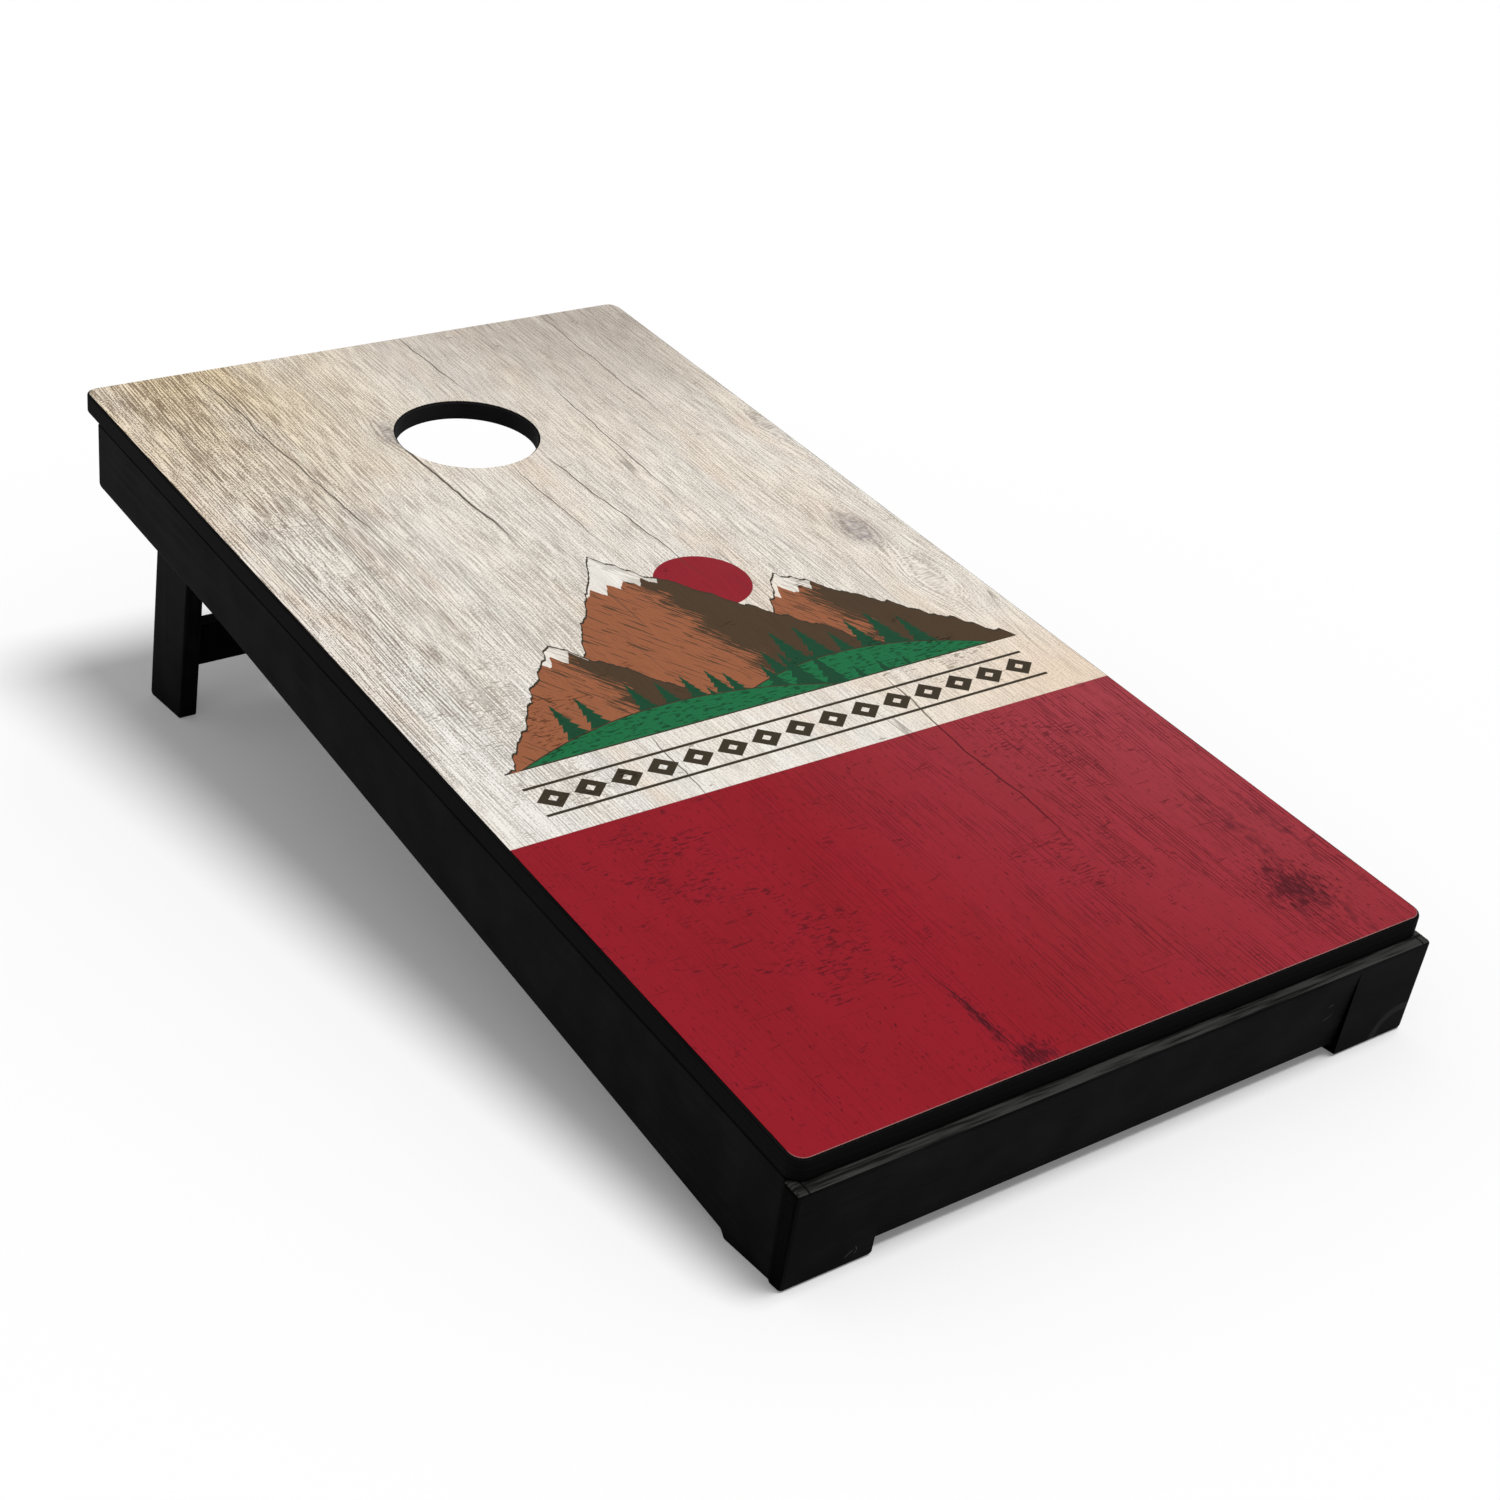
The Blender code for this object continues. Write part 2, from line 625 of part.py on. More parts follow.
for obj in PARTS.objects:
    if obj.type == "MESH":
        obj.data.shade_smooth()
        obj.data.set_sharp_from_angle(angle=BEVEL_ANGLE)
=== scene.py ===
"""Looks for a folding cornhole board: print, paint, timber and metal finishes, with floor, light and camera.

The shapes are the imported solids. Lengths are metres in the frame's axes: +X right, +Y to the rear, +Z up.
The finishes work in the deck's own axes: x across, y from its front edge to the rear, z up from its top.
"""
import math
from functools import partial

import bpy
import numpy as np
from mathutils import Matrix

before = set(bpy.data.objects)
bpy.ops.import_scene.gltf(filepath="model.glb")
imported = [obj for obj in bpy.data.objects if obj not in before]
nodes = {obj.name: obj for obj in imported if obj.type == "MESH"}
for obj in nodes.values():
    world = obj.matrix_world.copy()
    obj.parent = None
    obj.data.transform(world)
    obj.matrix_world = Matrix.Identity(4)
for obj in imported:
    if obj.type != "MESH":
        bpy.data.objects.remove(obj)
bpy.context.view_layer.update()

MM = 0.001

# The camera, solved from the deck's four corners and the feet in a 1500 x 1500 frame
CAMERA_PLACE = (-1.1364, -1.7076, 1.0866)
CAMERA_TURN_DEG = (66.298, -1.449, -35.291)
CAMERA_LENS_MM = 60.797
CAMERA_SENSOR_MM = 36.0
CAMERA_SHIFT = (-0.0167, -0.0667)

# Light: an even white dome and one soft lamp high at the front right, together about 1.0 on a level face
DOME_STRENGTH = 0.32
LAMP_STRENGTH = 2.28
LAMP_SOFTNESS_DEG = 24.0
LAMP_FROM = (0.21, -0.27, 0.94)
FLOOR_SIZE = 30.0
# Share of plain white in the floor as the camera sees it, which makes the shadow paler
FLOOR_LIFT = 0.14

# Noise: how far each seed moves it, and a patch in millimetres so large that it doesn't change that way
SEED_STEP = (3.7, 9.1)
ENDLESS = 1e7
# Output and settings of a Mix node for colours
COLOUR_MIX = {"output": 2, "data_type": "RGBA"}

# The print: a pale weathered board with a red field over its front third
WHITEWASH, CREAM, GREY_WOOD = "#f3f0ea", "#f2e6d5", "#dedad3"
PINK_WOOD, TAN_WOOD, BROWN_WOOD, SMOKE_WOOD = "#eedac4", "#f0debd", "#a58f72", "#c4baaf"
FURROW_SHADE, CRACK_DARK, KNOT_GREY = "#978e87", "#453c31", "#8a8488"
# The third red is a painted sheen: a pale pink that stands in for the light's reflection on the red field
RED, RED_DEEP, RED_SHEEN = "#901c28", "#8c1b25", "#ffa9b4"
RED_FLECK, RED_SMUDGE, PALE_EDGE = "#420f17", "#441722", "#c9bdb6"
RED_FIELD_LENGTH = 382 * MM
# The film's half width and half length and its corner radius, and half the deck's length
FILM_HALF = (0.3026, 0.6074)
FILM_CORNER = 10.8 * MM
DECK_MIDDLE = 0.6096
# Drifts of tone: colour, patch width and length in millimetres, noise levels of none and most, seed, most
DRIFTS = ((CREAM, 60, 420, 0.42, 0.70, 31, 0.5), (GREY_WOOD, 26, 460, 0.48, 0.74, 32, 0.5),
          (PINK_WOOD, 80, 240, 0.54, 0.72, 33, 0.45))
REAR_PATCH_LENGTH, REAR_PATCH_RISE = 330, 0.3
# Fibres: pitch and length of the strokes in millimetres, and their seed
THICK_FIBRES, THIN_FIBRES = (3.6, 80, 61), (2.5, 50, 75)
THIN_SHARE = 0.7
# Half width of a stroke and of its core as shares of the pitch, and how far apart two strokes' noises lie
STROKE_HALF, STROKE_CORE, STROKE_APART = 0.22, 0.08, 317.0
GRAIN_DRIFT = 22 * MM
# Bell curves: how fast they fall, and how far a knot pulls the grain
KNOT_FALL, SPOT_FALL, KNOT_PULL = 1.0, 0.7, 0.85
# Knots: x, y, half width, half length and how grey
KNOTS = ((-0.070, 1.024, 0.020, 0.042, 0.9), (0.252, 0.690, 0.021, 0.040, 1.2),
         (0.262, 0.585, 0.034, 0.050, 0.35), (0.296, 0.905, 0.020, 0.045, 0.6))
# Drying cracks: x and y of the rear end, x and y of the front end, width
CRACKS = ((-0.192, 1.230, -0.172, 0.800, 1.3 * MM), (-0.072, 1.030, -0.062, 0.760, 2.3 * MM),
          (0.036, 1.230, 0.048, 1.050, 1.2 * MM), (0.046, 0.940, 0.066, 0.660, 1.2 * MM),
          (0.133, 1.060, 0.122, 0.780, 1.0 * MM), (0.116, 0.470, 0.106, 0.170, 1.3 * MM),
          (-0.120, 0.480, -0.128, 0.330, 1.0 * MM), (0.006, 0.930, 0.012, 0.720, 0.9 * MM),
          (0.210, 1.230, 0.205, 0.930, 0.9 * MM), (-0.106, 0.130, -0.091, -0.030, 1.0 * MM))
CRACK_SWAY = 13 * MM
CRACK_FADE_FRONT, CRACK_FADE_REAR = 80 * MM, 30 * MM
CRACK_FIRST_SEED = 3
CRACK_SHARE = 0.95
# Crackled spots in the wood, worn spots and soft smudges in the red: x, y, half width and half length
CRACKLES = ((-0.235, 0.900, 0.030, 0.028), (-0.215, 0.795, 0.022, 0.018), (-0.215, 0.545, 0.060, 0.060),
            (-0.200, 0.430, 0.050, 0.030), (0.180, 0.470, 0.040, 0.040), (-0.195, 0.300, 0.045, 0.060),
            (-0.150, 0.180, 0.050, 0.050), (0.165, 0.325, 0.050, 0.050), (0.100, 0.180, 0.035, 0.045))
SCUFFS = ((-0.089, 0.014, 0.015, 0.015), (-0.099, 0.060, 0.004, 0.030), (0.233, 0.074, 0.025, 0.031))
SMUDGES = ((0.246, 0.150, 0.009, 0.060), (0.252, 0.032, 0.008, 0.030), (0.281, 0.150, 0.007, 0.055))
SMUDGE_SHARE = 0.78

# Changes of the print over the deck, as a Map Range's inputs: from 1 to 2 in x or y the share goes from 3
# to 4, or from 0 to 1 where those are left out
LEFT_TONES_X, RIGHT_TONES_X = {1: 0.0, 2: -0.16}, {1: -0.06, 2: 0.20, 3: 0.15}
REAR_TONES_Y = {1: 0.88, 2: 1.18}
WARM_X, WARM_Y = {1: -0.02, 2: 0.18, 4: 0.5}, {1: 0.60, 2: 0.95, 3: 0.08, 4: 0.55}
PINK_X, PINK_Y = {1: 0.06, 2: 0.24}, {1: 0.52, 2: 0.41, 4: 0.9}
STROKES_X = {1: -0.18, 2: 0.08, 3: 1.0, 4: 0.6}
PALE_GROUND_X, PALE_GROUND_Y = {1: -0.29, 2: -0.20, 3: 0.25, 4: 0.06}, {1: 1.06, 2: 1.16, 3: 1.0, 4: 0.25}
FIBRES_X, FIBRES_Y = {1: -0.24, 2: -0.14, 3: 1.02, 4: 0.70}, {1: 0.40, 2: 0.62, 3: 0.58, 4: 1.0}
REAR_FIBRES_X, REAR_FIBRES_Y = {1: -0.24, 2: 0.0, 3: 0.35, 4: -0.10}, {1: 0.84, 2: 1.06}
# Where the painted sheen pales the red field
RED_SHEEN_X, RED_SHEEN_Y = {1: -0.08, 2: 0.28, 4: 0.088}, {1: -0.30, 2: 0.34}
RED_STROKES_X = {1: -0.20, 2: 0.20, 3: 0.25, 4: 1.0}
PALE_EDGE_Y = {1: 16 * MM, 2: 8 * MM}
# The same for the fibres, from bare wood to full ink
FIBRES_UNDER_INK = {3: 1.0, 4: 0.28}

# The picture on the print: hills, peaks, firs and a low sun over a row of diamonds
INK, EARTH, EARTH_DARK = "#3b3327", "#9a5f42", "#4a3a2a"
MEADOW, MEADOW_DARK, FIR, SUN = "#1d6b41", "#124a2c", "#17452e", "#8e212c"
PICTURE_BASE = 0.470
# Widths of outlines and of the soft edges of shapes
OUTLINE = 1.7 * MM
ROUGH_EDGE, INK_EDGE, FINE_EDGE = 1.0 * MM, 0.6 * MM, 0.5 * MM
SUN_PLACE, SUN_RADIUS = (0.058, 0.664), 0.046
# Peaks, rear one first: x, top, steepness to the left and right, depth of the snow
PEAKS = ((0.128, 0.652, 1.35, 1.25, 0.040), (-0.018, 0.742, 1.55, 1.40, 0.062),
         (-0.128, 0.628, 1.25, 1.45, 0.034))
# How rough a ridge is, how the shaded side and the hatching lean and reach, and the snow's edge and shade
CRAG_DEPTH = 34 * MM
SHADE_LEAN, SHADE_WANDER = 0.22, 56 * MM
HATCH_LEAN, HATCH_REACH = 0.55, 75 * MM
SNOW_TOOTH, SNOW_TOOTH_DEPTH, SNOW_CRAG, SNOW_SHADE = 9 * MM, 1.5, 30 * MM, 0.30
# Hills, rear one first: middle, half width, height
HILLS = ((0.095, 0.150, 0.044), (-0.085, 0.160, 0.036))
FIR_PITCH, FIR_REACH = 25 * MM, 0.215
FIR_LEAST, FIR_MOST = 34 * MM, 60 * MM
# Firs: share left out, half width by height, rows of branches, depth of their teeth, root below ground
FIR_GAPS, FIR_SPREAD, FIR_ROWS, FIR_TEETH, FIR_ROOT = 0.24, 0.24, 5.0, 0.40, -0.1
DIAMOND_PITCH, DIAMOND_HALF, DIAMOND_SQUASH, HEART_HALF = 34 * MM, 15.0 * MM, 1.1, 4.4 * MM
# The row's y and half length, and the lines on both sides of it
DIAMOND_ROW, ROW_HALF_LENGTH = 0.4275, 0.255
RULE_OFF, RULE_HALF = 19 * MM, 1.4 * MM

# Black enamel, and the grey of a painted highlight on the ledge
PAINT, PAINT_LAP, PAINT_END, LEDGE_HIGHLIGHT_GREY = "#0b0b0b", "#131313", "#010101", "#3a3a38"
# The side rails' black and lap tone are a lighter copy of the paint: painted light that lifts the shade on
# their faces
SIDE_PAINT_LIFTED, SIDE_LAP_LIFTED, HOLE_WALL_LIFTED, CRESCENT_HIGHLIGHT, SCRATCH = "#0d0d0d", "#151515", "#282828", "#232323", "#5a5a58"
# Brush strokes, and the streaks of the ledge's painted highlight: millimetres across, along and up the deck
LENGTHWISE, CROSSWISE, UPRIGHT, HIGHLIGHT_STREAKS = (3, 160, 3), (160, 3, 3), (3, 3, 120), (50, 2.4, 2.4)
LEDGE_NICK, NICK_SWAY = 0.2985, 6 * MM
HOLE_PLACE, HOLE_RADIUS = (0, 0.9992), 0.070
PLY = 2.9 * MM
# Marks on the front rail, in the deck's x and z: each scratch from one end to the other
SCRATCHES = ((-0.2545, -0.1024, -0.2467, -0.0967), (-0.2455, -0.0945, -0.2438, -0.0991),
             (-0.2438, -0.0991, -0.2459, -0.1013), (0.2041, -0.0520, 0.2110, -0.0505),
             (0.2038, -0.0677, 0.2140, -0.0623))
SCRATCH_WIDTH = 0.7 * MM
# A crescent of painted highlight on the right foot: middle x and z, inner and outer radius
CRESCENT = (0.2975, -0.1110, 0.0215, 0.0310)

# A face points up if its normal's z is above this
UPWARD = 0.9

# Hidden pieces: pine blocks, nylon spacers, zinc plated and brass fittings
PINE, PINE_LATE = "#d9b98a", "#a97a48"
PINE_RING, WAVE_REPEAT = 5 * MM, 0.314
NYLON, NYLON_GRAIN = "#151515", "#202021"
ZINC, ZINC_TINT, BRASS, BRASS_TINT = "#b9bcbf", "#a3a7ab", "#b98d4a", "#a77d3f"


def linear(hex_colour):
    """sRGB hex such as #c8a36e as linear RGBA."""
    parts = [int(hex_colour[i:i + 2], 16) / 255 for i in (1, 3, 5)]
    return [c / 12.92 if c <= 0.04045 else ((c + 0.055) / 1.055) ** 2.4 for c in parts] + [1.0]


def add(tree, kind, sockets, output=0, **settings):
    """Adds a shader node: settings are properties, sockets inputs by name or number, values or links."""
    node = tree.nodes.new("ShaderNode" + kind)
    for name, value in settings.items():
        setattr(node, name, value)
    for key, value in sockets.items():
        if isinstance(value, bpy.types.NodeSocket):
            tree.links.new(value, node.inputs[key])
        else:
            node.inputs[key].default_value = value
    return node.outputs[output]


def deck_axes():
    """Tilt of the deck and the middle of its front top edge.

    The film's upward faces, weighted by area, give the deck's normal. The panel's lowest reach along the
    deck and the film's highest along the normal give the edge.
    """
    film = nodes["deck_film"].data
    normals = np.empty(len(film.polygons) * 3)
    areas = np.empty(len(film.polygons))
    film.polygons.foreach_get("normal", normals)
    film.polygons.foreach_get("area", areas)
    normals = normals.reshape(-1, 3)
    up = normals[:, 2] > UPWARD
    normal = (normals[up] * areas[up, None]).sum(axis=0)
    tilt = math.atan2(-normal[1], normal[2])
    along = np.array([0, math.cos(tilt), math.sin(tilt)])
    across = np.array([0, -math.sin(tilt), math.cos(tilt)])

    def reach(node, axis):
        mesh = nodes[node].data
        points = np.empty(len(mesh.vertices) * 3)
        mesh.vertices.foreach_get("co", points)
        return points.reshape(-1, 3) @ axis

    edge = along * reach("deck_panel", along).min() + across * reach("deck_film", across).max()
    return tilt, edge


DECK_TILT, DECK_EDGE = deck_axes()
DECK_UP = (0, -math.sin(DECK_TILT), math.cos(DECK_TILT))


def new_material(name):
    """A material with its Principled shader, and a short call that adds nodes to it."""
    material = bpy.data.materials.new(name)
    material.use_nodes = True
    tree = material.node_tree
    return material, tree.nodes["Principled BSDF"], partial(add, tree)


def finish(material, shader, **sockets):
    """Puts values or links on the shader's sockets, spaces written as underscores."""
    for name, value in sockets.items():
        socket = shader.inputs[name.replace("_", " ")]
        if isinstance(value, bpy.types.NodeSocket):
            material.node_tree.links.new(value, socket)
        else:
            socket.default_value = value
    return material


def deck_place(node):
    """Object coordinates turned into the deck's own."""
    here = node("TexCoord", {}, output=3)
    return node("Mapping", {"Vector": here, "Location": DECK_EDGE, "Rotation": (DECK_TILT, 0, 0)},
                vector_type="TEXTURE")


def streaks(node, place, across, along, seed, detail=2.0):
    """Cloudy noise about one half, in patches so many millimetres wide and long."""
    sizes = (1 / (across * MM), 1 / (along * MM), 0)
    shift = (seed * SEED_STEP[0], seed * SEED_STEP[1], 0)
    spread = node("VectorMath", {0: place, 1: sizes, 2: shift}, operation="MULTIPLY_ADD")
    return node("TexNoise", {"Vector": spread, "Scale": 1.0, "Detail": detail}, noise_dimensions="2D")


def level_lines(node, cloud, half, core):
    """Thin lines where a cloudy noise crosses one half: none further than half from it, full within core."""
    off = node("Math", {0: cloud, 1: 0.5}, operation="SUBTRACT")
    off = node("Math", {0: off}, operation="ABSOLUTE")
    return node("MapRange", {0: off, 1: half, 2: core})


def bell(node, place, x, y, width, length, fall):
    """Place from x, y in half widths and half lengths, and e to the power of minus fall times r squared."""
    middle = (-x / width, -y / length, 0)
    away = node("VectorMath", {0: place, 1: (1 / width, 1 / length, 0), 2: middle}, operation="MULTIPLY_ADD")
    far = node("VectorMath", {0: away, 1: away}, output=1, operation="DOT_PRODUCT")
    power = node("Math", {0: far, 1: -fall}, operation="MULTIPLY")
    return away, node("Math", {0: power}, operation="EXPONENT")


def spots(node, place, places):
    """The highest of the bell curves round x, y places, each with its half width and half length."""
    most = 0.0
    for x, y, width, length in places:
        curve = bell(node, place, x, y, width, length, SPOT_FALL)[1]
        most = node("Math", {0: most, 1: curve}, operation="MAXIMUM")
    return most


def distance(node, place, middle):
    """How far a place is from a middle, in the plane of the first two coordinates."""
    away = node("VectorMath", {0: place, 1: (*middle, 0)}, operation="SUBTRACT")
    flat = node("VectorMath", {0: away, 1: (1, 1, 0)}, operation="MULTIPLY")
    return node("VectorMath", {0: flat}, output=1, operation="LENGTH")


def fibre_lines(node, flow, pitch, length, seed):
    """Thin strokes along the grain: one in each cell across it, pitch and length in millimetres.

    White noise of the cell's number sets the stroke off from the cell's middle, and gives it a noise of its
    own that breaks it along its length.
    """
    x = node("SeparateXYZ", {0: flow})
    y = node("SeparateXYZ", {0: flow}, output=1)
    sway = streaks(node, flow, 9 * pitch, 3 * length, seed)
    across = node("Math", {0: x, 1: 1 / (pitch * MM), 2: sway}, operation="MULTIPLY_ADD")
    cell = node("Math", {0: across}, operation="FLOOR")
    chance = node("TexWhiteNoise", {"W": cell}, noise_dimensions="1D")
    middle = node("MapRange", {0: chance, 3: 0.3, 4: 0.7})
    gap = node("Math", {0: across}, operation="FRACT")
    gap = node("Math", {0: gap, 1: middle}, operation="SUBTRACT")
    gap = node("Math", {0: gap}, operation="ABSOLUTE")
    line = node("MapRange", {0: gap, 1: STROKE_HALF, 2: STROKE_CORE})
    own = node("Math", {0: chance, 1: STROKE_APART}, operation="MULTIPLY")
    own = node("CombineXYZ", {0: own, 1: y})
    broken = streaks(node, own, 1000, length, seed + 1, detail=3.0)
    broken = node("MapRange", {0: broken, 1: 0.40, 2: 0.54})
    return node("Math", {0: line, 1: broken}, operation="MULTIPLY")


def fibres(node, flow):
    """Fine fibres along the grain, from 0 on pale ridges to 1 in dark furrows, and the thick strokes alone.

    Thick strokes and weaker thin ones, in patches and weaker to the right, lie on a streaky, speckled
    ground, which is paler along the left edge.
    """
    x = node("SeparateXYZ", {0: flow})
    y = node("SeparateXYZ", {0: flow}, output=1)
    thick = fibre_lines(node, flow, *THICK_FIBRES)
    thin = node("Math", {0: fibre_lines(node, flow, *THIN_FIBRES), 1: THIN_SHARE}, operation="MULTIPLY")
    lines = node("Math", {0: thick, 1: thin}, operation="MAXIMUM")
    dense = streaks(node, flow, 34, 210, 64, detail=3.0)
    dense = node("MapRange", {0: dense, 1: 0.38, 2: 0.62, 3: 0.35, 4: 1.1})
    dense = node("Math", {0: dense, 1: node("MapRange", {0: x, **STROKES_X})}, operation="MULTIPLY")
    pale = node("MapRange", {0: x, **PALE_GROUND_X})
    pale = node("Math", {0: pale, 1: node("MapRange", {0: y, **PALE_GROUND_Y})}, operation="MULTIPLY")
    grain = streaks(node, flow, 1.5, 40, 62, detail=1.0)
    speck = streaks(node, flow, 1.5, 2.2, 63, detail=1.0)
    ground = node("Math", {0: grain, 1: 2.3, 2: -1.88}, operation="MULTIPLY_ADD")
    ground = node("Math", {0: ground, 1: pale}, operation="SUBTRACT")
    ground = node("Math", {0: speck, 1: 2.1, 2: ground}, operation="MULTIPLY_ADD")
    share = node("Math", {0: lines, 1: dense, 2: ground}, operation="MULTIPLY_ADD", use_clamp=True)
    return share, thick


def fibre_strength(node, place, inked):
    """How dark fibres lie: weaker to the right and front, strongest at the rear left, faint under ink."""
    x = node("SeparateXYZ", {0: place})
    y = node("SeparateXYZ", {0: place}, output=1)
    strength = node("MapRange", {0: x, **FIBRES_X})
    strength = node("Math", {0: strength, 1: node("MapRange", {0: y, **FIBRES_Y})}, operation="MULTIPLY")
    swing = node("MapRange", {0: x, **REAR_FIBRES_X})
    rear = node("MapRange", {0: y, **REAR_FIBRES_Y})
    strength = node("Math", {0: rear, 1: swing, 2: strength}, operation="MULTIPLY_ADD")
    shown = node("MapRange", {0: inked, **FIBRES_UNDER_INK})
    return node("Math", {0: strength, 1: shown}, operation="MULTIPLY")


def grain_flow(node, place):
    """Place with x bent so that the grain drifts and parts round the knots, and how near a knot is.

    A knot draws x to its own middle by a bell curve of the distance, so lines spread over it and crowd
    beside it.
    """
    x = node("SeparateXYZ", {0: place})
    y = node("SeparateXYZ", {0: place}, output=1)
    drift = streaks(node, place, 130, 520, 1, detail=1.0)
    flow = node("Math", {0: drift, 1: GRAIN_DRIFT, 2: x}, operation="MULTIPLY_ADD")
    near = 0.0
    for knot_x, knot_y, width, length, grey in KNOTS:
        away, curve = bell(node, place, knot_x, knot_y, width, length, KNOT_FALL)
        pull = node("Math", {0: node("SeparateXYZ", {0: away}), 1: curve}, operation="MULTIPLY")
        flow = node("Math", {0: pull, 1: -KNOT_PULL * width, 2: flow}, operation="MULTIPLY_ADD")
        shade = node("Math", {0: curve, 1: grey}, operation="MULTIPLY")
        near = node("Math", {0: shade, 1: near}, operation="MAXIMUM")
    return node("CombineXYZ", {0: flow, 1: y}), near


def drying_cracks(node, place, flow):
    """Dark lines along the grain: long ones between two points each, and hairs on a noise's level lines.

    A long crack is a straight run from end to end, swayed by noise along its length and faded at both ends.
    """
    x = node("SeparateXYZ", {0: place})
    y = node("SeparateXYZ", {0: place}, output=1)
    lines = 0.0
    for seed, (x_rear, y_rear, x_front, y_front, width) in enumerate(CRACKS, CRACK_FIRST_SEED):
        start, end = x_front - CRACK_SWAY / 2, x_rear - CRACK_SWAY / 2
        run = node("MapRange", {0: y, 1: y_front, 2: y_rear, 3: start, 4: end})
        sway = streaks(node, place, ENDLESS, 75, seed, detail=3.0)
        run = node("Math", {0: sway, 1: CRACK_SWAY, 2: run}, operation="MULTIPLY_ADD")
        gap = node("Math", {0: x, 1: run}, operation="SUBTRACT")
        gap = node("Math", {0: gap}, operation="ABSOLUTE")
        dark = node("MapRange", {0: gap, 1: 0.85 * width, 2: 0.25 * width})
        front = node("MapRange", {0: y, 1: y_front, 2: y_front + CRACK_FADE_FRONT})
        rear = node("MapRange", {0: y, 1: y_rear, 2: y_rear - CRACK_FADE_REAR})
        ends = node("Math", {0: front, 1: rear}, operation="MULTIPLY")
        dark = node("Math", {0: dark, 1: ends}, operation="MULTIPLY")
        lines = node("Math", {0: dark, 1: lines}, operation="MAXIMUM")
    hair = level_lines(node, streaks(node, flow, 45, 2200, 21), 0.0065, 0.002)
    some = node("MapRange", {0: streaks(node, flow, 40, 180, 22), 1: 0.50, 2: 0.64, 4: 0.5})
    hair = node("Math", {0: hair, 1: some}, operation="MULTIPLY")
    return node("Math", {0: hair, 1: lines}, operation="MAXIMUM")


def short_cracks(node, place):
    """Short cracks across the grain, in patches that the crackled spots make stronger."""
    crack = streaks(node, place, 9, 2.2, 65)
    crack = node("MapRange", {0: crack, 1: 0.56, 2: 0.62})
    patch = streaks(node, place, 26, 26, 66, detail=3.0)
    patch = node("Math", {0: spots(node, place, CRACKLES), 1: 0.30, 2: patch}, operation="MULTIPLY_ADD")
    patch = node("MapRange", {0: patch, 1: 0.64, 2: 0.76, 4: 0.8})
    return node("Math", {0: crack, 1: patch}, operation="MULTIPLY")


def wood_tone(node, place, flow, near_knot):
    """Whitewashed boards without fine lines: cream, grey and pink drifts, tan and smoky towards the rear."""
    x = node("SeparateXYZ", {0: place})
    y = node("SeparateXYZ", {0: place}, output=1)
    warm_rear = node("MapRange", {0: y, **WARM_Y})
    warm_right = node("MapRange", {0: x, **WARM_X})
    warm = node("Math", {0: warm_rear, 1: warm_right}, operation="MAXIMUM")
    tone = node("Mix", {0: warm, 6: linear(WHITEWASH), 7: linear(CREAM)}, **COLOUR_MIX)
    for colour, across, along, low, high, seed, most in DRIFTS:
        patch = node("MapRange", {0: streaks(node, flow, across, along, seed), 1: low, 2: high, 4: most})
        tone = node("Mix", {0: patch, 6: tone, 7: linear(colour)}, **COLOUR_MIX)

    rear = node("MapRange", {0: y, **REAR_TONES_Y})
    left = node("MapRange", {0: x, **LEFT_TONES_X})
    right = node("MapRange", {0: x, **RIGHT_TONES_X})
    rear_drifts = ((SMOKE_WOOD, right, 60, 0.16, 34, 1.0), (TAN_WOOD, left, 70, 0.24, 35, 1.0),
                   (BROWN_WOOD, left, 9, 0.44, 37, 0.35))
    for colour, side, across, low, seed, most in rear_drifts:
        patch = streaks(node, flow, across, REAR_PATCH_LENGTH, seed, detail=3.0)
        patch = node("MapRange", {0: patch, 1: low, 2: low + REAR_PATCH_RISE, 4: most})
        patch = node("Math", {0: patch, 1: rear}, operation="MULTIPLY")
        patch = node("Math", {0: patch, 1: side}, operation="MULTIPLY")
        tone = node("Mix", {0: patch, 6: tone, 7: linear(colour)}, **COLOUR_MIX)

    front = node("MapRange", {0: y, **PINK_Y})
    front = node("Math", {0: front, 1: node("MapRange", {0: x, **PINK_X})}, operation="MULTIPLY")
    tone = node("Mix", {0: front, 6: tone, 7: linear(PINK_WOOD)}, **COLOUR_MIX)
    mottle = streaks(node, place, 6, 9, 36, detail=4.0)
    mottle = node("MapRange", {0: mottle, 1: 0.40, 2: 0.62, 3: 0.55})
    knot = node("MapRange", {0: near_knot, 1: 0.25, 2: 1.0, 4: 0.75})
    knot = node("Math", {0: knot, 1: mottle}, operation="MULTIPLY")
    return node("Mix", {0: knot, 6: tone, 7: linear(KNOT_GREY)}, **COLOUR_MIX)


def low_sun(node, place):
    """Colour of the sun and where it is: a disc."""
    far = distance(node, place, SUN_PLACE)
    return linear(SUN), node("MapRange", {0: far, 1: SUN_RADIUS, 2: SUN_RADIUS - INK_EDGE})


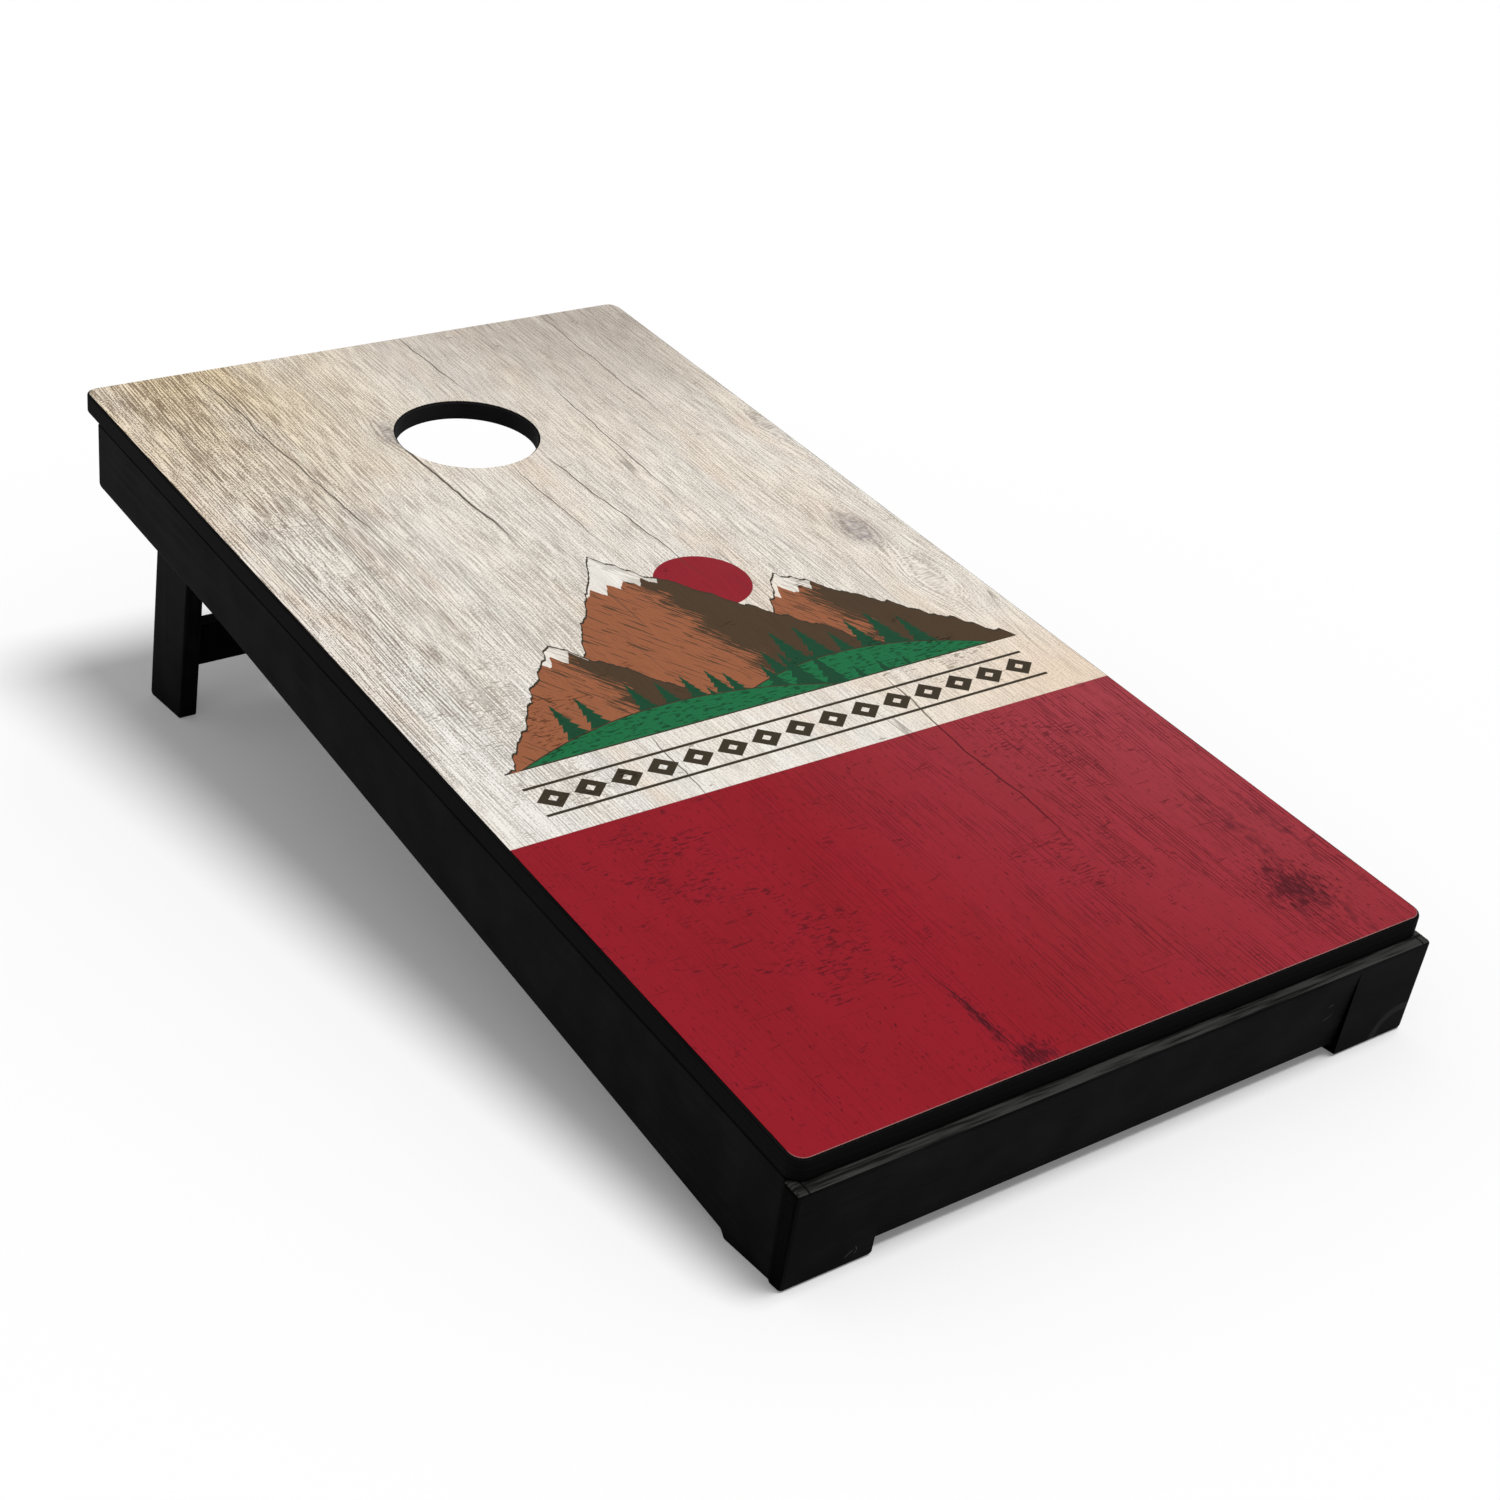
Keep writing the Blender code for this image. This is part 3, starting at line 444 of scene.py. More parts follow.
def mountains(node, place, bare):
    """Colour of each peak and where it is, rear one first.

    A peak lies below two slopes from its top, roughened by noise. A wandering line splits it into a lit and
    a shaded face with hatching between them, and its cap is left bare down to a row of teeth.
    """
    x = node("SeparateXYZ", {0: place})
    y = node("SeparateXYZ", {0: place}, output=1)
    above = node("Math", {0: y, 1: PICTURE_BASE}, operation="GREATER_THAN")
    crag = streaks(node, place, 17, ENDLESS, 41, detail=3.0)
    wander = streaks(node, place, ENDLESS, 26, 42, detail=3.0)
    tooth = node("Math", {0: x, 1: SNOW_TOOTH}, operation="PINGPONG")
    lean = node("Math", {0: y, 1: HATCH_LEAN, 2: x}, operation="MULTIPLY_ADD")
    hatch = streaks(node, node("CombineXYZ", {0: lean, 1: y}), 2.6, 34, 43, detail=1.5)
    etched = node("MapRange", {0: hatch, 1: 0.36, 2: 0.33, 4: 0.85})
    reach = node("Math", {0: hatch, 1: HATCH_REACH, 2: -HATCH_REACH / 2}, operation="MULTIPLY_ADD")
    layers = []
    for peak_x, top, steep_left, steep_right, snow in PEAKS:
        off = node("Math", {0: x, 1: peak_x}, operation="SUBTRACT")
        left = node("Math", {0: off, 1: steep_left}, operation="MULTIPLY")
        right = node("Math", {0: off, 1: -steep_right}, operation="MULTIPLY")
        slope = node("Math", {0: left, 1: right}, operation="MINIMUM")
        rough = node("Math", {0: crag, 1: CRAG_DEPTH, 2: top - CRAG_DEPTH / 2}, operation="MULTIPLY_ADD")
        ridge = node("Math", {0: slope, 1: rough}, operation="ADD")
        depth = node("Math", {0: ridge, 1: y}, operation="SUBTRACT")
        body = node("MapRange", {0: depth, 1: 0.0, 2: ROUGH_EDGE})
        body = node("Math", {0: body, 1: above}, operation="MULTIPLY")

        fall = node("Math", {0: top, 1: y}, operation="SUBTRACT")
        start = peak_x - SHADE_WANDER / 2
        divide = node("Math", {0: fall, 1: SHADE_LEAN, 2: start}, operation="MULTIPLY_ADD")
        divide = node("Math", {0: wander, 1: SHADE_WANDER, 2: divide}, operation="MULTIPLY_ADD")
        side = node("Math", {0: x, 1: divide}, operation="SUBTRACT")
        side = node("Math", {0: reach, 1: side}, operation="ADD")
        shade = node("MapRange", {0: side, 1: -ROUGH_EDGE, 2: ROUGH_EDGE})
        dark = node("Math", {0: shade, 1: etched}, operation="MAXIMUM")
        face = node("Mix", {0: dark, 6: linear(EARTH), 7: linear(EARTH_DARK)}, **COLOUR_MIX)

        cap = node("Math", {0: tooth, 1: SNOW_TOOTH_DEPTH, 2: fall}, operation="MULTIPLY_ADD")
        cap = node("Math", {0: crag, 1: SNOW_CRAG, 2: cap}, operation="MULTIPLY_ADD")
        snow_end = snow + SNOW_CRAG / 2
        cap = node("MapRange", {0: cap, 1: snow_end + ROUGH_EDGE, 2: snow_end})
        shadow = node("Math", {0: shade, 1: SNOW_SHADE}, operation="MULTIPLY")
        snow_tone = node("Mix", {0: shadow, 6: bare, 7: linear(INK)}, **COLOUR_MIX)
        face = node("Mix", {0: cap, 6: face, 7: snow_tone}, **COLOUR_MIX)
        rim = node("MapRange", {0: depth, 1: 2.2 * OUTLINE, 2: 1.8 * OUTLINE})
        layers.append((node("Mix", {0: rim, 6: face, 7: linear(INK)}, **COLOUR_MIX), body))
    return layers


def firs(node, x, y, ground, shift):
    """Where firs stand on a ground line: a cone in each cell of x, with saw teeth along its height.

    White noise of the cell's number leaves some cells empty and sets each fir's height.
    """
    cell = node("Math", {0: x, 1: FIR_PITCH}, operation="DIVIDE")
    cell = node("Math", {0: cell, 1: shift}, operation="ADD")
    cell = node("Math", {0: cell}, operation="FLOOR")
    chance = node("TexWhiteNoise", {"W": cell}, output=1, noise_dimensions="1D")
    tall = node("MapRange", {0: node("SeparateXYZ", {0: chance}), 3: FIR_LEAST, 4: FIR_MOST})
    there = node("SeparateXYZ", {0: chance}, output=1)
    there = node("MapRange", {0: there, 1: FIR_GAPS, 2: FIR_GAPS + 0.01})
    trunk = node("Math", {0: cell, 1: FIR_PITCH, 2: (0.5 - shift) * FIR_PITCH}, operation="MULTIPLY_ADD")
    off = node("Math", {0: x, 1: trunk}, operation="SUBTRACT")
    off = node("Math", {0: off}, operation="ABSOLUTE")
    up = node("Math", {0: y, 1: ground}, operation="SUBTRACT")
    up = node("Math", {0: up, 1: tall}, operation="DIVIDE")
    teeth = node("Math", {0: up, 1: FIR_ROWS}, operation="MULTIPLY")
    teeth = node("Math", {0: teeth}, operation="FRACT")
    width = node("Math", {0: teeth, 1: -FIR_TEETH, 2: 1.0}, operation="MULTIPLY_ADD")
    taper = node("Math", {0: 1.0, 1: up}, operation="SUBTRACT")
    width = node("Math", {0: width, 1: taper}, operation="MULTIPLY")
    spread = node("Math", {0: tall, 1: FIR_SPREAD}, operation="MULTIPLY")
    width = node("Math", {0: width, 1: spread}, operation="MULTIPLY")
    inside = node("Math", {0: width, 1: off}, operation="SUBTRACT")
    fir = node("MapRange", {0: inside, 1: 0.0, 2: FINE_EDGE})
    rooted = node("Math", {0: up, 1: FIR_ROOT}, operation="GREATER_THAN")
    fir = node("Math", {0: fir, 1: rooted}, operation="MULTIPLY")
    fir = node("Math", {0: fir, 1: there}, operation="MULTIPLY")
    side = node("Math", {0: x}, operation="ABSOLUTE")
    within = node("Math", {0: side, 1: FIR_REACH}, operation="LESS_THAN")
    return node("Math", {0: fir, 1: within}, operation="MULTIPLY")


def wooded_hills(node, place):
    """Colour of each row of firs and of the hill before it, and where they are, rear one first.

    A hill lies below an arch of x squared, with short dark dashes for grass. The second row of firs stands
    half a cell beside the first.
    """
    x = node("SeparateXYZ", {0: place})
    y = node("SeparateXYZ", {0: place}, output=1)
    above = node("Math", {0: y, 1: PICTURE_BASE}, operation="GREATER_THAN")
    base = node("Math", {0: y, 1: PICTURE_BASE}, operation="SUBTRACT")
    dash = node("MapRange", {0: streaks(node, place, 9, 2.6, 44, detail=1.0), 1: 0.60, 2: 0.64})
    green = node("Mix", {0: dash, 6: linear(MEADOW), 7: linear(MEADOW_DARK)}, **COLOUR_MIX)
    layers = []
    for number, (middle, half, height) in enumerate(HILLS):
        off = node("Math", {0: x, 1: middle}, operation="SUBTRACT")
        off = node("Math", {0: off, 1: half}, operation="DIVIDE")
        arch = node("Math", {0: off, 1: off}, operation="MULTIPLY")
        arch = node("Math", {0: arch, 1: -height, 2: PICTURE_BASE + height}, operation="MULTIPLY_ADD")
        fir = firs(node, x, y, arch, 0.5 * number)
        layers.append((linear(FIR), node("Math", {0: fir, 1: above}, operation="MULTIPLY")))

        depth = node("Math", {0: arch, 1: y}, operation="SUBTRACT")
        body = node("MapRange", {0: depth, 1: 0.0, 2: INK_EDGE})
        body = node("Math", {0: body, 1: above}, operation="MULTIPLY")
        inside = node("Math", {0: depth, 1: base}, operation="MINIMUM")
        rim = node("MapRange", {0: inside, 1: 1.2 * OUTLINE, 2: 0.9 * OUTLINE})
        layers.append((node("Mix", {0: rim, 6: green, 7: linear(INK)}, **COLOUR_MIX), body))
    return layers


def diamond_row(node, place):
    """Colour of a row of hollow diamonds between two lines and where it is.

    A diamond is where the distances along and across the row sum to less than a limit.
    """
    x = node("SeparateXYZ", {0: place})
    y = node("SeparateXYZ", {0: place}, output=1)
    level = node("Math", {0: y, 1: DIAMOND_ROW}, operation="SUBTRACT")
    level = node("Math", {0: level}, operation="ABSOLUTE")
    step = node("Math", {0: x, 1: DIAMOND_PITCH / 2}, operation="PINGPONG")
    far = node("Math", {0: level, 1: DIAMOND_SQUASH, 2: step}, operation="MULTIPLY_ADD")
    diamond = node("MapRange", {0: far, 1: DIAMOND_HALF + INK_EDGE, 2: DIAMOND_HALF})
    heart = node("MapRange", {0: far, 1: HEART_HALF + INK_EDGE, 2: HEART_HALF})
    diamond = node("Math", {0: diamond, 1: heart}, operation="SUBTRACT")
    rule = node("Math", {0: level, 1: RULE_OFF}, operation="SUBTRACT")
    rule = node("Math", {0: rule}, operation="ABSOLUTE")
    rule = node("MapRange", {0: rule, 1: RULE_HALF + FINE_EDGE, 2: RULE_HALF})
    row = node("Math", {0: diamond, 1: rule}, operation="MAXIMUM")
    side = node("Math", {0: x}, operation="ABSOLUTE")
    within = node("Math", {0: side, 1: ROW_HALF_LENGTH}, operation="LESS_THAN")
    return linear(INK), node("Math", {0: row, 1: within}, operation="MULTIPLY")


def picture(node, place, ground):
    """The picture, layer over layer, on the tone it is given; returns the tone and where there is ink."""
    layers = [low_sun(node, place), *mountains(node, place, ground), *wooded_hills(node, place),
              diamond_row(node, place)]
    tone, inked = ground, 0.0
    for colour, share in layers:
        tone = node("Mix", {0: share, 6: tone, 7: colour}, **COLOUR_MIX)
        inked = node("Math", {0: inked, 1: share}, operation="MAXIMUM")
    return tone, inked


def red_scuffs(node, place, flow):
    """Worn spots as two shares: a cloudy smudge, and strokes along the grain where a bell lifts noise."""
    marks = spots(node, place, SCUFFS)
    soft = node("Math", {0: spots(node, place, SMUDGES), 1: SMUDGE_SHARE}, operation="MULTIPLY")
    soft = node("Math", {0: soft, 1: marks}, operation="MAXIMUM")
    cloud = streaks(node, place, 8, 14, 71, detail=4.0)
    rise = node("Math", {0: soft, 1: 0.5, 2: cloud}, operation="MULTIPLY_ADD")
    smudge = node("MapRange", {0: rise, 1: 0.70, 2: 1.02, 4: 0.60})
    grit = streaks(node, flow, 1.9, 9, 72, detail=4.0)
    rise = node("Math", {0: marks, 1: 0.26, 2: grit}, operation="MULTIPLY_ADD")
    return smudge, node("MapRange", {0: rise, 1: 0.67, 2: 0.73, 4: 0.75})


def red_field(node, place, flow, lines, cracks):
    """Dark red ink with worn spots, and a painted sheen that pales it towards the right and the rear.

    Thin strokes along the grain are few on the left and many on the right; fine splits run across it.
    """
    x = node("SeparateXYZ", {0: place})
    y = node("SeparateXYZ", {0: place}, output=1)
    drift = node("MapRange", {0: streaks(node, flow, 70, 160, 51, detail=3.0), 1: 0.4, 2: 0.65})
    red = node("Mix", {0: drift, 6: linear(RED), 7: linear(RED_DEEP)}, **COLOUR_MIX)
    # Painted sheen: pale pink mixed in towards the right and rear, standing in for reflected light
    sheen = node("MapRange", {0: x, **RED_SHEEN_X})
    sheen = node("Math", {0: sheen, 1: node("MapRange", {0: y, **RED_SHEEN_Y})}, operation="MULTIPLY")
    red = node("Mix", {0: sheen, 6: red, 7: linear(RED_SHEEN)}, **COLOUR_MIX)
    smudge, scuff = red_scuffs(node, place, flow)
    red = node("Mix", {0: smudge, 6: red, 7: linear(RED_SMUDGE)}, **COLOUR_MIX)

    stroke = node("MapRange", {0: streaks(node, flow, 2.0, 24, 67), 1: 0.37, 2: 0.32, 4: 0.6})
    lines = node("Math", {0: lines, 1: 0.75}, operation="MULTIPLY")
    stroke = node("Math", {0: lines, 1: stroke}, operation="MAXIMUM")
    where = streaks(node, flow, 40, 120, 68, detail=3.0)
    where = node("MapRange", {0: where, 1: 0.42, 2: 0.57, 3: 0.22, 4: 1.0})
    where = node("Math", {0: where, 1: node("MapRange", {0: x, **RED_STROKES_X})}, operation="MULTIPLY")
    stroke = node("Math", {0: stroke, 1: where}, operation="MULTIPLY")
    cracks = node("Math", {0: cracks, 1: 0.8}, operation="MULTIPLY")
    split = level_lines(node, streaks(node, place, 420, 34, 69, detail=3.0), 0.008, 0.003)
    some = node("MapRange", {0: streaks(node, place, 26, 20, 70, detail=4.0), 1: 0.52, 2: 0.66, 4: 0.55})
    split = node("Math", {0: split, 1: some}, operation="MULTIPLY")
    for mark in (cracks, scuff, split):
        stroke = node("Math", {0: stroke, 1: mark}, operation="MAXIMUM")
    return node("Mix", {0: stroke, 6: red, 7: linear(RED_FLECK)}, **COLOUR_MIX)


def pale_edge(node, place):
    """A pale hair line painted along the film's front edge: distance from a rounded rectangle."""
    inset = node("VectorMath", {0: place, 1: (0, DECK_MIDDLE, 0)}, operation="SUBTRACT")
    inset = node("VectorMath", {0: inset}, operation="ABSOLUTE")
    straight = (FILM_HALF[0] - FILM_CORNER, FILM_HALF[1] - FILM_CORNER, 1)
    inset = node("VectorMath", {0: inset, 1: straight}, operation="SUBTRACT")
    inset = node("VectorMath", {0: inset, 1: (0, 0, 0)}, operation="MAXIMUM")
    rim = node("VectorMath", {0: inset}, output=1, operation="LENGTH")
    rim = node("MapRange", {0: rim, 1: FILM_CORNER - 0.6 * MM, 2: FILM_CORNER - 0.2 * MM, 4: 0.32})
    front = node("MapRange", {0: node("SeparateXYZ", {0: place}, output=1), **PALE_EDGE_Y})
    return node("Math", {0: rim, 1: front}, operation="MULTIPLY")


def printed_vinyl():
    """Printed cast vinyl under a satin laminate: the wood is only ink, so the sheet is smooth and even."""
    material, shader, node = new_material("satin_laminated_printed_vinyl")
    place = deck_place(node)
    flow, near_knot = grain_flow(node, place)
    wood = wood_tone(node, place, flow, near_knot)
    tone, inked = picture(node, place, wood)

    # Fibres about 1 mm wide
    share, lines = fibres(node, flow)
    furrow = node("Math", {0: share, 1: fibre_strength(node, place, inked)}, operation="MULTIPLY")
    cracks = short_cracks(node, place)
    furrow = node("Math", {0: furrow, 1: cracks}, operation="MAXIMUM")
    tone = node("Mix", {0: furrow, 6: tone, 7: linear(FURROW_SHADE)}, **COLOUR_MIX, blend_type="MULTIPLY")

    y = node("SeparateXYZ", {0: place}, output=1)
    red_here = node("MapRange", {0: y, 1: RED_FIELD_LENGTH + 0.4 * MM, 2: RED_FIELD_LENGTH - 0.4 * MM})
    red = red_field(node, place, flow, lines, cracks)
    tone = node("Mix", {0: red_here, 6: tone, 7: red}, **COLOUR_MIX)
    crack = node("Math", {0: drying_cracks(node, place, flow), 1: CRACK_SHARE}, operation="MULTIPLY")
    deep = node("Mix", {0: red_here, 6: linear(CRACK_DARK), 7: linear(RED_FLECK)}, **COLOUR_MIX)
    tone = node("Mix", {0: crack, 6: tone, 7: deep}, **COLOUR_MIX)
    tone = node("Mix", {0: pale_edge(node, place), 6: tone, 7: linear(PALE_EDGE)}, **COLOUR_MIX)

    # Laminate ripple about 3 mm across, drawn at 5 mm so that it shows
    ripple = streaks(node, place, 5, 5, 73)
    skin = node("Bump", {"Height": ripple, "Strength": 0.05, "Distance": 0.2 * MM})
    satin = node("MapRange", {0: streaks(node, place, 60, 60, 74), 3: 0.40, 4: 0.52})
    return finish(material, shader, Base_Color=tone, Roughness=satin, Normal=skin, Specular_IOR_Level=0.03)


def front_marks(node, place, up, tone):
    """Scratches and a painted highlight crescent on the front rail: distance to short lines and part of a
    ring.
    """
    x = node("SeparateXYZ", {0: place})
    z = node("SeparateXYZ", {0: place}, output=2)
    flat = node("CombineXYZ", {0: x, 1: z})
    steep = node("MapRange", {0: up, 1: 0.4, 2: 0.2})
    # Painted highlight: a pale crescent on the right foot's front face, where light catches it
    middle_x, middle_z, inner, outer = CRESCENT
    ring = distance(node, flat, (middle_x, middle_z))
    ring = node("Math", {0: ring, 1: (inner + outer) / 2}, operation="SUBTRACT")
    ring = node("Math", {0: ring}, operation="ABSOLUTE")
    ring = node("MapRange", {0: ring, 1: (outer - inner) / 2, 2: (outer - inner) / 4})
    ring = node("Math", {0: ring, 1: steep}, operation="MULTIPLY")
    tone = node("Mix", {0: ring, 6: tone, 7: linear(CRESCENT_HIGHLIGHT)}, **COLOUR_MIX)

    lines = 0.0
    for x_1, z_1, x_2, z_2 in SCRATCHES:
        length = math.hypot(x_2 - x_1, z_2 - z_1)
        along = ((x_2 - x_1) / length, (z_2 - z_1) / length, 0)
        middle = ((x_1 + x_2) / 2, (z_1 + z_2) / 2, 0)
        away = node("VectorMath", {0: flat, 1: middle}, operation="SUBTRACT")
        run = node("VectorMath", {0: away, 1: along}, output=1, operation="DOT_PRODUCT")
        run = node("Math", {0: run}, operation="ABSOLUTE")
        off = node("VectorMath", {0: away, 1: (-along[1], along[0], 0)}, output=1, operation="DOT_PRODUCT")
        off = node("Math", {0: off}, operation="ABSOLUTE")
        thin = node("MapRange", {0: off, 1: SCRATCH_WIDTH / 2, 2: 0.0})
        ends = node("MapRange", {0: run, 1: length / 2, 2: length / 4})
        line = node("Math", {0: thin, 1: ends}, operation="MULTIPLY")
        lines = node("Math", {0: line, 1: lines}, operation="MAXIMUM")
    lines = node("Math", {0: lines, 1: steep}, operation="MULTIPLY")
    return node("Mix", {0: lines, 6: tone, 7: linear(SCRATCH)}, **COLOUR_MIX)


def ledge_highlight_and_marks(node, place, mottle, tone):
    """The front rail: black end grain, and upward faces lightened to grey in streaks, a painted highlight.

    A nick near each end stops the highlight. The marks on the front face come last.
    """
    facing = node("TexCoord", {}, output=1)
    end = node("Math", {0: node("SeparateXYZ", {0: facing})}, operation="ABSOLUTE")
    end = node("MapRange", {0: end, 1: 0.75, 2: 0.95})
    tone = node("Mix", {0: end, 6: tone, 7: linear(PAINT_END)}, **COLOUR_MIX)
    # Painted highlight: the upward faces turn grey in streaks, standing in for light from above catching
    # them
    up = node("VectorMath", {0: facing, 1: DECK_UP}, output=1, operation="DOT_PRODUCT")
    highlit_ledge = node("MapRange", {0: up, 1: 0.45, 2: 0.75})
    bare = node("VectorMath", {0: place, 1: [1 / (s * MM) for s in HIGHLIGHT_STREAKS]}, operation="MULTIPLY")
    bare = node("TexNoise", {"Vector": bare, "Scale": 1.0, "Detail": 4.0})
    bare = node("MapRange", {0: bare, 1: 0.40, 2: 0.58, 3: 0.10, 4: 1.0})
    x = node("Math", {0: node("SeparateXYZ", {0: place})}, operation="ABSOLUTE")
    nick = node("Math", {0: mottle, 1: NICK_SWAY, 2: LEDGE_NICK - NICK_SWAY / 2}, operation="MULTIPLY_ADD")
    nick = node("Math", {0: x, 1: nick}, operation="SUBTRACT")
    nick = node("Math", {0: nick}, operation="ABSOLUTE")
    clear = node("MapRange", {0: nick, 1: 0.5 * MM, 2: 1.1 * MM})
    bare = node("Math", {0: bare, 1: clear}, operation="MULTIPLY")
    highlit_ledge = node("Math", {0: highlit_ledge, 1: bare}, operation="MULTIPLY")
    tone = node("Mix", {0: highlit_ledge, 6: tone, 7: linear(LEDGE_HIGHLIGHT_GREY)}, **COLOUR_MIX)
    return front_marks(node, place, up, tone)


def black_paint(name, brush, paint=PAINT, lap_tone=PAINT_LAP, ledge=False):
    """Satin black enamel brushed on timber: near black, faint lap marks along the stroke, a little stipple.

    brush gives the stroke's size in millimetres across, along and up the deck.
    """
    material, shader, node = new_material(name)
    place = deck_place(node)
    strokes = node("VectorMath", {0: place, 1: [1 / (s * MM) for s in brush]}, operation="MULTIPLY")
    stroke = node("TexNoise", {"Vector": strokes, "Scale": 1.0, "Detail": 3.0})
    mottle = node("TexNoise", {"Vector": place, "Scale": 1 / (45 * MM), "Detail": 2.0})
    lap = node("Math", {0: stroke, 1: mottle}, operation="MULTIPLY")
    lap = node("MapRange", {0: lap, 1: 0.20, 2: 0.36})
    tone = node("Mix", {0: lap, 6: linear(paint), 7: linear(lap_tone)}, **COLOUR_MIX)
    dull = node("MapRange", {0: stroke, 1: 0.3, 2: 0.7, 3: 0.50, 4: 0.66})
    if ledge:
        tone = ledge_highlight_and_marks(node, place, mottle, tone)
    stipple = node("TexNoise", {"Vector": place, "Scale": 1 / (2.5 * MM), "Detail": 2.0})
    relief = node("Math", {0: stroke, 1: 2.0, 2: stipple}, operation="MULTIPLY_ADD")
    skin = node("Bump", {"Height": relief, "Strength": 0.12, "Distance": 0.3 * MM})
    return finish(material, shader, Base_Color=tone, Roughness=dull, Normal=skin, Specular_IOR_Level=0.01)


def sealed_plywood():
    """Birch plywood sealed black: plies as faint lines on the edges, the face veneer's grain underneath.

    The hole's wall is painted a lighter dark grey in patches: painted light that lifts the shade inside the
    hole.
    """
    material, shader, node = new_material("black_sealed_birch_plywood")
    place = deck_place(node)
    z = node("SeparateXYZ", {0: place}, output=2)
    wave = streaks(node, place, 90, 90, 81)
    layer = node("Math", {0: wave, 1: 0.5 * MM, 2: z}, operation="MULTIPLY_ADD")
    ply = node("Math", {0: layer, 1: PLY}, operation="PINGPONG")
    ply = node("Math", {0: ply, 1: 1 / PLY}, operation="MULTIPLY")
    ply = node("MapRange", {0: ply, 1: 0.72, 2: 0.92, 4: 0.4})
    grain = node("MapRange", {0: streaks(node, place, 3, 90, 82, detail=4.0), 1: 0.40, 2: 0.68})
    facing = node("TexCoord", {}, output=1)
    side = node("VectorMath", {0: facing, 1: DECK_UP}, output=1, operation="DOT_PRODUCT")
    side = node("Math", {0: side}, operation="ABSOLUTE")
    side = node("MapRange", {0: side, 1: 0.8, 2: 0.5})
    mark = node("Mix", {0: side, 2: grain, 3: ply}, data_type="FLOAT")
    tone = node("Mix", {0: mark, 6: linear(PAINT), 7: linear(PAINT_LAP)}, **COLOUR_MIX)
    # Painted light: the hole's wall lightened to grey in patches to lift the shade inside it
    far = distance(node, place, HOLE_PLACE)
    bore = node("MapRange", {0: far, 1: HOLE_RADIUS + 1 * MM, 2: HOLE_RADIUS})
    worn = node("MapRange", {0: wave, 1: 0.35, 2: 0.65, 3: 0.5, 4: 1.0})
    bore = node("Math", {0: bore, 1: worn}, operation="MULTIPLY")
    tone = node("Mix", {0: bore, 6: tone, 7: linear(HOLE_WALL_LIFTED)}, **COLOUR_MIX)
    skin = node("Bump", {"Height": mark, "Strength": 0.15, "Distance": 0.3 * MM})
    return finish(material, shader, Base_Color=tone, Roughness=0.6, Normal=skin, Specular_IOR_Level=0.01)


def bare_pine():
    """Planed pine: pale yellow wood with soft brown year rings drawn out along the block."""
    material, shader, node = new_material("planed_pine")
    place = deck_place(node)
    bend = node("TexNoise", {"Vector": place, "Scale": 1 / (60 * MM), "Detail": 2.0})
    long = node("VectorMath", {0: place, 1: (1, 1, 0.12)}, operation="MULTIPLY")
    # A wave of scale 1 repeats every WAVE_REPEAT metres
    rings = {"Vector": long, "Scale": WAVE_REPEAT / PINE_RING, "Distortion": 4.0, "Detail": 2.0}
    ring = node("TexWave", {**rings, "Detail Scale": 0.6}, output=1, wave_type="RINGS")
    fleck = node("VectorMath", {0: place, 1: [1 / (s * MM) for s in (1.2, 1.2, 30)]}, operation="MULTIPLY")
    fleck = node("TexNoise", {"Vector": fleck, "Scale": 1.0, "Detail": 2.0})
    late = node("Math", {0: ring, 1: bend}, operation="MULTIPLY")
    late = node("Math", {0: fleck, 1: 0.3, 2: late}, operation="MULTIPLY_ADD")
    late = node("MapRange", {0: late, 1: 0.25, 2: 0.75})
    tone = node("Mix", {0: late, 6: linear(PINE), 7: linear(PINE_LATE)}, **COLOUR_MIX)
    skin = node("Bump", {"Height": late, "Strength": 0.2, "Distance": 0.3 * MM})
    return finish(material, shader, Base_Color=tone, Roughness=0.62, Normal=skin, Specular_IOR_Level=0.3)


def plated_metal(name, base, tint, roughness):
    """Turned and plated metal: a bright skin with faint turning lines and soft cloudy tint."""
    material, shader, node = new_material(name)
    here = node("TexCoord", {}, output=3)
    cloud = node("TexNoise", {"Vector": here, "Scale": 1 / (4 * MM), "Detail": 3.0})
    tone = node("Mix", {0: cloud, 6: linear(base), 7: linear(tint)}, **COLOUR_MIX)
    fine = node("VectorMath", {0: here, 1: [1 / (s * MM) for s in (0.4, 3, 3)]}, operation="MULTIPLY")
    fine = node("TexNoise", {"Vector": fine, "Scale": 1.0, "Detail": 2.0})
    dull = node("MapRange", {0: fine, 1: 0.3, 2: 0.7, 3: roughness - 0.06, 4: roughness + 0.10})
    skin = node("Bump", {"Height": fine, "Strength": 0.08, "Distance": 0.05 * MM})
    return finish(material, shader, Base_Color=tone, Metallic=1.0, Roughness=dull, Normal=skin)


def moulded_nylon():
    """Black moulded nylon: dark, slightly waxy, with a fine spark-eroded grain."""
    material, shader, node = new_material("black_moulded_nylon")
    here = node("TexCoord", {}, output=3)
    grain = node("TexNoise", {"Vector": here, "Scale": 1 / (0.8 * MM), "Detail": 2.0})
    tone = node("Mix", {0: grain, 6: linear(NYLON), 7: linear(NYLON_GRAIN)}, **COLOUR_MIX)
    skin = node("Bump", {"Height": grain, "Strength": 0.2, "Distance": 0.1 * MM})
    return finish(material, shader, Base_Color=tone, Roughness=0.5, Normal=skin, Specular_IOR_Level=0.3)


